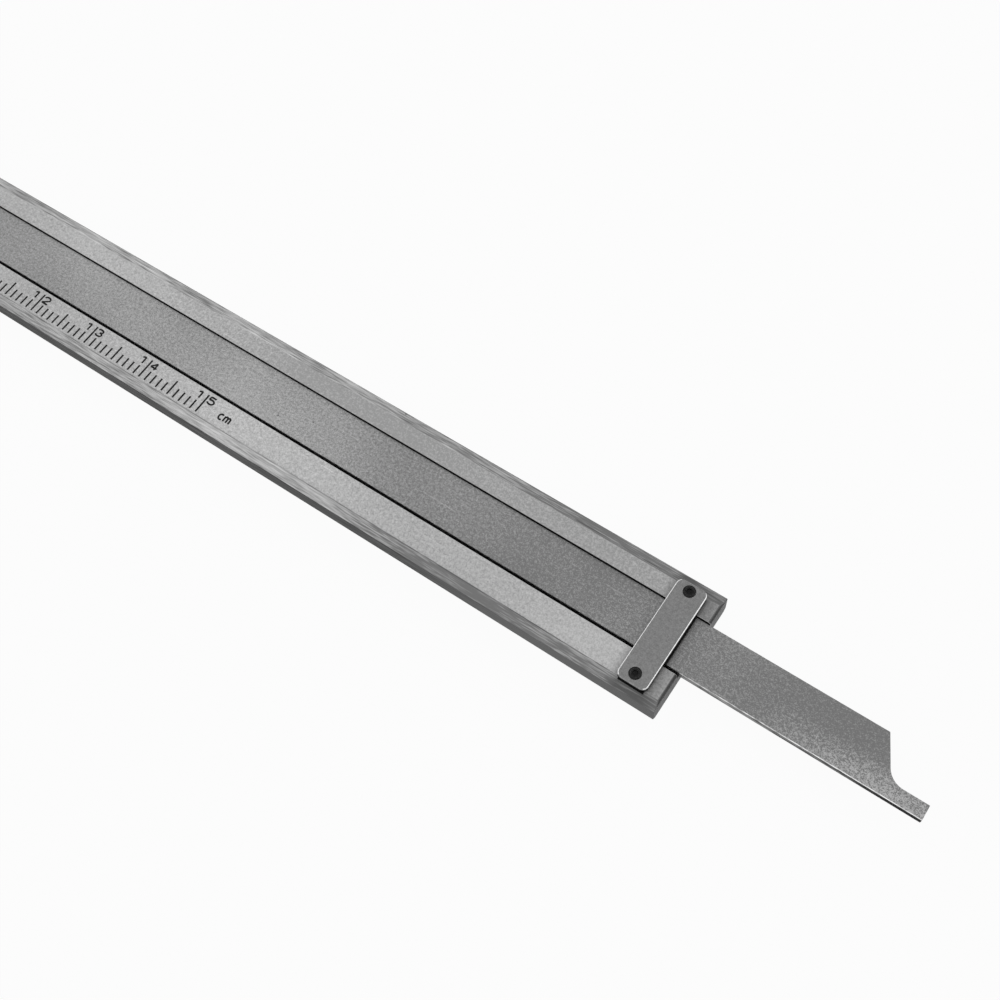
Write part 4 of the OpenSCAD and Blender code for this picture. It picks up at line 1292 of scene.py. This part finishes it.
@dataclass
class EndPlate:
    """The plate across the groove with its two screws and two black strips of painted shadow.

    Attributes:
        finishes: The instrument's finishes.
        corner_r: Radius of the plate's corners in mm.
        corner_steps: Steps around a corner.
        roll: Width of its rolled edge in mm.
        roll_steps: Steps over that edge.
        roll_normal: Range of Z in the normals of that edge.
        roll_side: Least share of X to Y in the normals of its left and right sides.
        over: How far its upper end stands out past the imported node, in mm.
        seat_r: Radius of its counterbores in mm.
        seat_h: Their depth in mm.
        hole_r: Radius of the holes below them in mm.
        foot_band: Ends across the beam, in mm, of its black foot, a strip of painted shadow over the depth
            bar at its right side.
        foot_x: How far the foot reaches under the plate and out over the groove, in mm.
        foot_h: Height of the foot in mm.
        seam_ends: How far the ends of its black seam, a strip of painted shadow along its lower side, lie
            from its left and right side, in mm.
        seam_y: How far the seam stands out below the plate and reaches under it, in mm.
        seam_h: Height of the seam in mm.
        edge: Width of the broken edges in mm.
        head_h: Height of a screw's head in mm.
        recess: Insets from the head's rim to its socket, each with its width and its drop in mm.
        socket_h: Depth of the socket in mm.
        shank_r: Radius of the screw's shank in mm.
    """

    finishes: Finishes
    corner_r: float = 0.8
    corner_steps: int = 8
    roll: float = 0.18
    roll_steps: int = 5
    roll_normal: Pair = (0.15, 0.97)
    roll_side: float = 0.6
    over: float = 0.12
    seat_r: float = 0.77
    seat_h: float = 0.3
    hole_r: float = 0.47
    foot_band: Pair = (5.4, 12.3)
    foot_x: Pair = (0.5, 0.2)
    foot_h: float = 0.12
    seam_ends: Pair = (0.4, 0.2)
    seam_y: Pair = (0.09, 0.3)
    seam_h: float = 0.1
    edge: float = 0.05
    head_h: float = 0.42
    recess: tuple[Pair, ...] = ((0.2, 0.0), (0.05, 0.07), (0.12, 0.0))
    socket_h: float = 0.2
    shank_r: float = 0.44

    def build(self) -> None:
        """Makes the plate and the screws."""
        low, high = box_mm("end_screws")
        radius = (high.x - low.x) / 2
        x = low.x + radius
        places = [(x, low.y + radius), (x, high.y - radius)]
        self._plate(places)
        self._screws(places, radius)

    def _rolled(self, normal: Vector) -> bool:
        """Says whether a face belongs to the rolled edge."""
        return self.roll_normal[0] < normal.z < self.roll_normal[1]

    def _plate(self, places: list[Pair]) -> None:
        """Makes the plate with its rolled edge in painted highlight and shade, its counterbores, and a
        foot and seam of painted shadow.

        Args:
            places: The screws' axes in mm.
        """
        f = self.finishes
        low, high = box_mm("end_plate")
        piece = new_block("end_plate_rolled", low, (high.x, high.y + self.over, high.z))
        with editing(piece):
            pick(piece, Part.EDGE, lambda spot, way: abs(way.z) > UPWARD)
            bpy.ops.mesh.bevel(offset=self.corner_r * MM, segments=self.corner_steps, affect="EDGES")
            pick_top(piece)
            bpy.ops.mesh.region_to_loop()
            bpy.ops.mesh.bevel(offset=self.roll * MM, segments=self.roll_steps, affect="EDGES")
        for at in places:
            for radius, bottom in ((self.seat_r, high.z - self.seat_h), (self.hole_r, low.z - 1)):
                cutter = new_disc("cutter", at, radius, bottom, high.z + 1)
                apply_modifier(piece, "BOOLEAN", operation="DIFFERENCE", object=cutter, solver="EXACT")
                bpy.data.objects.remove(cutter)
        # The rims facing left and right take painted highlights, those facing up and down painted shade.
        coat(
            piece, f.plate,
            (f.roll, lambda c, n: self._rolled(n) and n.x > self.roll_side * abs(n.y)),
            (f.left_roll, lambda c, n: self._rolled(n) and n.x < -self.roll_side * abs(n.y)),
            (f.dull, lambda c, n: self._rolled(n) and abs(n.x) <= self.roll_side * abs(n.y)),
            # The plate's walls and underside in black: painted shade.
            (f.black, lambda c, n: abs(n.z) <= self.roll_normal[0] or n.z < -UPWARD))
        # The top's broken edges take the painted shade copy of the rim.
        soften(piece, self.edge, f.dull, where=lambda c: c.z > high.z - LEVEL_GAP)
        # Foot and seam: black strips put where the plate's shadow falls on the depth bar and the bevel,
        # painted shadow.
        foot = new_block(
            "foot", (high.x - self.foot_x[0], self.foot_band[0], low.z),
            (high.x + self.foot_x[1], self.foot_band[1], low.z + self.foot_h))
        seam = new_block(
            "seam", (low.x + self.seam_ends[0], low.y - self.seam_y[0], low.z),
            (high.x - self.seam_ends[1], low.y + self.seam_y[1], low.z + self.seam_h))
        for part in (foot, seam):
            coat(part, f.black)
        hand_in(join([piece, foot, seam], "end_plate_rolled"), Body.FRAME, "plate_steel", "end_plate")

    def _screws(self, places: list[Pair], radius: float) -> None:
        """Makes the two black screws with their round rims and sockets.

        Args:
            places: Their axes in mm.
            radius: Radius of their heads in mm.
        """
        f = self.finishes
        low, high = box_mm("end_screws")
        neck = high.z - self.head_h
        first = new_disc("end_screw", places[0], radius, neck, high.z, sides=48)
        with editing(first):
            pick_top(first)
            for width, drop in self.recess:
                bpy.ops.mesh.inset(thickness=width * MM, depth=-drop * MM)
            self._extrude(-self.socket_h)
            pick(first, Part.FACE, lambda spot, way: way.z < -UPWARD)
            bpy.ops.mesh.inset(thickness=(radius - self.shank_r) * MM, depth=0.0)
            self._extrude(low.z - neck)
        coat(first, f.black)
        soften(first, self.edge, f.worn_black, segments=3, sharp=50)
        apart = places[1][1] - places[0][1]
        second = twin(first, "end_screw_high", Matrix.Translation((0, apart * MM, 0)))
        hand_in(join([first, second], "end_screw_pair"), Body.FRAME, "black_screw", "end_screws")

    @staticmethod
    def _extrude(rise: float) -> None:
        """Extrudes the picked faces along Z, by a rise in mm."""
        bpy.ops.mesh.extrude_region_move(TRANSFORM_OT_translate={"value": (0, 0, rise * MM)})


@dataclass
class Slider:
    """The slider with its moving jaws, depth bar, knobs and screws.

    Attributes:
        finishes: The instrument's finishes.
        inner_jaw_y: Where the inside jaw begins across the beam, in mm.
        outer_jaw_y: Where the outside jaw's broken edges begin, in mm.
        rail_z: Height above which the frame's edges are broken, in mm.
        end_slope: Range of X in the normals of the slope at the slider's left end.
        bar_from: Where the depth bar's painted edge highlight begins along X, in mm.
        bar_band: Width of the strips that hold that edge, in mm.
    """

    finishes: Finishes
    inner_jaw_y: float = 18.0
    outer_jaw_y: float = -4.0
    rail_z: float = 3.7
    end_slope: Pair = (-0.9, -0.5)
    bar_from: float = 100.0
    bar_band: float = 0.1

    def build(self) -> None:
        """Makes every piece of the slider that shows."""
        f = self.finishes
        self._body()
        self._depth_bar()
        for node, name, slot, finish, width in (
                ("back_plate", "back_cover", "slider_steel", f.satin, 0.12),
                ("back_screws", "back_cover_screws", "hardened_steel", f.screw, 0.04),
                ("dial_case", "case_body", "slider_steel", f.satin, 0.08),
                ("clamp_shoe", "clamp_foot", "knob_metal", f.satin, 0.08)):
            dress(node, name, Body.SLIDER, slot, finish, width, f.polish)
        for node, name, body, width in (
                ("thumb_roller", "thumb_wheel", Body.ROLLER, 0.05),
                ("lock_screw", "lock_knob", Body.LOCK, 0.05),
                ("clamp_screw", "clamp_knob", Body.CLAMP, 0.04)):
            dress(node, name, body, "knob_metal", f.knurl, width, f.polish, merge=False)

    def _body(self) -> None:
        """Makes the slider's frame with both moving jaws."""
        f = self.finishes
        jaw_x = box_mm("crystal")[0].x
        slope = self.end_slope
        dress(
            "slider_frame", "slider_body", Body.SLIDER, "slider_steel", f.satin, 0.1, f.polish,
            (f.lapped, lambda c, n: n.x < -SQUARE and c.x < jaw_x and c.y < 0),
            (f.lapped, lambda c, n: n.x > SQUARE and c.x < jaw_x and c.y > self.inner_jaw_y),
            (f.bevel, lambda c, n: slope[0] < n.x < slope[1] and n.z > LEANING),
            where=lambda c: c.z > self.rail_z or not self.outer_jaw_y <= c.y <= self.inner_jaw_y)

    def _depth_bar(self) -> None:
        """Makes the depth bar with a painted highlight on its lower edge and sides that darken towards the
        tip as painted shade.
        """
        f = self.finishes
        low, high = box_mm("depth_bar")
        y, z = low.y + self.bar_band, high.z - self.bar_band
        # The lower edge's chamfer is real and its highlight painted; the sides darken towards the tip as
        # painted shade.
        dress(
            "depth_bar", "depth_blade", Body.SLIDER, "bar_steel", f.matte, 0.08, f.edge,
            (f.bar_side, lambda c, n: abs(n.z) < SLOPED), segments=1,
            where=lambda c: c.z > z and c.y < y and c.x > self.bar_from)


@dataclass
class Dial:
    """The bezel with the dial face, its marks, the pointer and the crystal.

    Attributes:
        finishes: The instrument's finishes.
        divisions: Lines around the dial.
        outer_r: Radius of the lines' outer end in mm.
        numbers: Numbers around the dial.
        number_r: Radius of the numbers in mm.
        number_h: Height of the numbers in mm.
        unit: What the dial says of its division.
        unit_drop: How far below the axis it says so, in mm.
        unit_h: Height of that word in mm.
        proud: How far the ink stands out of the face, in mm.
        bright_h: Height of a ring's polished upper part in mm.
        dome_rise: Height of the crystal's dome in mm.
        dome_steps: Widths of its rings, from the outside, in mm.
        centre: The dial's axis in mm.
    """

    finishes: Finishes
    divisions: int = 100
    outer_r: float = 15.35
    numbers: int = 5
    number_r: float = 11.1
    number_h: float = 2.3
    unit: str = "0.05 mm"
    unit_drop: float = 5.6
    unit_h: float = 1.2
    proud: float = 0.015
    bright_h: float = 1.2
    dome_rise: float = 0.35
    dome_steps: tuple[float, ...] = (0.3, 3.0, 5.0, 4.0, 2.5)
    centre: Vector = field(default_factory=lambda: middle_mm("dial_face"))

    def build(self) -> None:
        """Makes every piece of the dial."""
        f = self.finishes
        ink = Lettering(f.ink, box_mm("dial_face")[1].z, proud=self.proud)
        self._ring("bezel", "bezel_ring", f.knurl, 0.06)
        self._ring("spacer_ring", "spacer_wall", f.polish, 0.04)
        dress("dial_face", "dial_card", Body.DIAL, "dial_white", f.dial, 0.05, f.dial)
        self._lines(ink)
        self._numbers(ink)
        dress("pointer", "pointer_hand", Body.CENTRE, "pointer_black", f.pointer, 0.05, f.pointer)
        self._crystal()

    def _ring(self, node: str, name: str, finish: Finish, width: float) -> None:
        """Makes a ring of the dial with a polished upper part.

        Args:
            node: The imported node.
            name: Name of the piece.
            finish: Its finish.
            width: Width of its broken edges in mm.
        """
        polish = self.finishes.polish
        level = box_mm(node)[1].z - self.bright_h
        dress(
            node, name, Body.DIAL, "knob_metal", finish, width, polish,
            (polish, lambda c, n: n.z > LEANING and c.z > level), merge=False)

    def _about(self, turn: float) -> Matrix:
        """Returns a turn about the dial's axis, in degrees clockwise."""
        there = Matrix.Translation(Vector((self.centre.x, self.centre.y, 0)) * MM)
        return there @ Matrix.Rotation(-math.radians(turn), 4, "Z") @ there.inverted()

    def _lines(self, ink: Lettering) -> None:
        """Makes the lines around the dial.

        Args:
            ink: The dial's ink.
        """
        x, y = self.centre.x, self.centre.y
        forms = {}
        for kind in DialLine:
            _, inner_r, width = kind.value
            forms[kind] = ink.line((x - width / 2, y + inner_r), (x + width / 2, y + self.outer_r))
        turn = 360 / self.divisions
        lines = rule(forms, self.divisions, lambda mark: self._about(mark * turn), "dial_lines")
        hand_in(lines, Body.DIAL, "pointer_black")

    def _numbers(self, ink: Lettering) -> None:
        """Makes the dial's numbers, in millimetres, and its unit.

        Args:
            ink: The dial's ink.
        """
        x, y = self.centre.x, self.centre.y
        words = []
        for number in range(self.numbers):
            angle = math.radians(90 - number * 360 / self.numbers)
            at = (x + self.number_r * math.cos(angle), y + self.number_r * math.sin(angle))
            words.append(ink.word(str(number), at, self.number_h))
        words.append(ink.word(self.unit, (x, y - self.unit_drop), self.unit_h))
        hand_in(join(words, "dial_numbers"), Body.DIAL, "pointer_black")

    def _crystal(self) -> None:
        """Makes the crystal with a polished, slightly domed top."""
        low, high = box_mm("crystal")
        radius = (high.x - low.x) / 2
        foot_of_dome = high.z - self.dome_rise
        piece = new_disc("crystal_lens", middle_mm("crystal"), radius, low.z, foot_of_dome, sides=96)
        with editing(piece):
            pick_top(piece)
            reach, last = radius, 0.0
            for step in self.dome_steps:
                reach -= step
                level = self.dome_rise * (1 - (reach / radius) ** 2)
                bpy.ops.mesh.inset(thickness=step * MM, depth=(level - last) * MM)
                last = level
        coat(piece, self.finishes.glass)
        smooth(piece)
        hand_in(piece, Body.DIAL, "crystal_clear", "crystal")


@dataclass
class Works:
    """The parts inside the slider and the case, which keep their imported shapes.

    Attributes:
        finishes: The instrument's finishes.
    """

    finishes: Finishes

    def build(self) -> None:
        """Gives each hidden node its finish."""
        f = self.finishes
        worn = {
            f.pin: ("rack", "rack_pins", "roller_pin", "gib_screws", "depth_screws", "case_screws",
                    "bezel_spring", "drive_pinion", "centre_pinion", "takeup_arbor"),
            f.brass: ("gib", "pinion_bush", "pillars", "bridge", "spring_stud", "drive_wheel",
                      "takeup_wheel", "spring_collet"),
            f.blued: ("bridge_screws", "hairspring"),
        }
        for finish, nodes in worn.items():
            for node in nodes:
                self._wear(node, finish.material())

    @staticmethod
    def _wear(node: str, material: Material) -> None:
        """Assigns a material to a node.

        Args:
            node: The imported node.
            material: Its finish.
        """
        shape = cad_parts[node]
        if not shape.material_slots:
            shape.data.materials.append(material)
        for place in shape.material_slots:
            place.material = material
        log.info("%s is finished in %s", node, material.name)


@dataclass(frozen=True)
class SoftBox:
    """A square lamp.

    Attributes:
        name: Name of the lamp.
        place: Where it hangs, in metres.
        size: Length of its side in metres.
        power: Its power in watts.
        aim: The point that it faces, in metres.
    """

    name: str
    place: Triple
    size: float
    power: float
    aim: Triple = (0.12, 0.0, 0.0)

    def hang(self) -> None:
        """Hangs the lamp."""
        lamp = bpy.data.lights.new(self.name, "AREA")
        lamp.size = self.size
        lamp.energy = self.power
        hung = bpy.data.objects.new(self.name, lamp)
        hung.location = self.place
        view = Vector(self.aim) - Vector(self.place)
        hung.rotation_euler = view.to_track_quat("-Z", "Y").to_euler()
        bpy.context.scene.collection.objects.link(hung)


@dataclass(frozen=True)
class Studio:
    """Camera, floor and soft light.

    Attributes:
        eye: The camera's place in mm.
        right: Direction of the picture's right side.
        down: Direction of the picture's lower side.
        ahead: Direction of the view.
        lens: Focal length in mm.
        sensor: Width of the sensor in mm.
        nearest: Least distance that the camera shows, in metres.
        floor_size: Length of the floor's side in metres.
        floor_x: Place of its middle along X in metres.
        floor_z: Height of the floor in mm.
        paper: Grey of the floor.
        open_sky: Strength of the world on the object.
        floor_glow: Share of plain white in the floor as it is seen; the rest takes the shadow.
        lamps: The soft boxes.
    """

    eye: Triple = (238.477, -38.656, 143.812)
    right: Triple = (0.82093665, 0.56634555, -0.07290909)
    down: Triple = (0.48298268, -0.75679921, -0.44043465)
    ahead: Triple = (-0.30461575, 0.32635512, -0.8948193)
    lens: float = 46.05
    sensor: float = 36.0
    nearest: float = 0.01
    floor_size: float = 6.0
    floor_x: float = 0.1
    floor_z: float = -1.3
    paper: float = 0.9
    open_sky: float = 0.45
    floor_glow: float = 0.95
    lamps: tuple[SoftBox, ...] = (
        SoftBox("key_light", (-0.275, 0.22, 0.725), 0.42, 0.3),
        SoftBox("side_light", (0.75, 0.3, 0.45), 0.4, 0.4),
    )

    def build(self) -> None:
        """Sets up the whole studio."""
        self._camera()
        self._floor()
        self._world()
        for lamp in self.lamps:
            lamp.hang()
        bpy.context.scene.view_settings.view_transform = "Standard"

    def _camera(self) -> None:
        """Adds the camera at the photograph's angle."""
        lens = bpy.data.cameras.new("photo_camera")
        lens.lens = self.lens
        lens.sensor_width = self.sensor
        lens.clip_start = self.nearest
        camera = bpy.data.objects.new("photo_camera", lens)
        bpy.context.scene.collection.objects.link(camera)
        turn = Matrix((self.right, [-v for v in self.down], [-v for v in self.ahead])).transposed()
        camera.matrix_world = Matrix.Translation(Vector(self.eye) * MM) @ turn.to_4x4()
        bpy.context.scene.camera = camera

    @staticmethod
    def _seen(sheet: NodeSheet) -> Socket:
        """Masks the rays that show the background.

        Args:
            sheet: The sheet that the mask is added to.

        Returns:
            The mask.
        """
        path = sheet.add("LightPath").outputs
        mirrored = sheet.math("MAXIMUM", path["Is Glossy Ray"], path["Is Transmission Ray"])
        return sheet.math("MAXIMUM", path["Is Camera Ray"], mirrored)

    def _floor(self) -> None:
        """Adds a plain white floor that keeps a faint shadow."""
        deselect()
        place = (self.floor_x, 0, self.floor_z * MM)
        bpy.ops.mesh.primitive_plane_add(size=self.floor_size, location=place)
        floor = bpy.context.active_object
        floor.name = "floor"
        material, sheet, surface = new_material("white_floor")
        material.node_tree.nodes.remove(surface)
        body = sheet.add("BsdfDiffuse", {0: (*grey(self.paper), 1)})
        glow = sheet.add("Emission", {0: WHITE, 1: 1.0})
        share = sheet.times(self._seen(sheet), self.floor_glow)
        mixed = sheet.add("MixShader", {0: share, 1: body.outputs[0], 2: glow.outputs[0]})
        sheet.feed(material.node_tree.nodes["Material Output"], {"Surface": mixed.outputs[0]})
        floor.data.materials.append(material)

    def _world(self) -> None:
        """Makes the white surroundings."""
        world = bpy.data.worlds.new("white_room")
        world.use_nodes = True
        bpy.context.scene.world = world
        sheet = NodeSheet(world.node_tree)
        more = sheet.times(self._seen(sheet), 1 - self.open_sky)
        sheet.feed(world.node_tree.nodes["Background"], {
            "Color": WHITE, "Strength": sheet.plus(more, self.open_sky)})


def main() -> None:
    """Dresses the instrument and sets up the studio."""
    logging.basicConfig(level=logging.INFO, format="%(name)s: %(message)s")
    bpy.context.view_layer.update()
    finishes = Finishes()
    Studio().build()
    for part in (Beam(finishes), EndPlate(finishes), Slider(finishes), Dial(finishes), Works(finishes)):
        part.build()


if __name__ == "__main__":
    main()
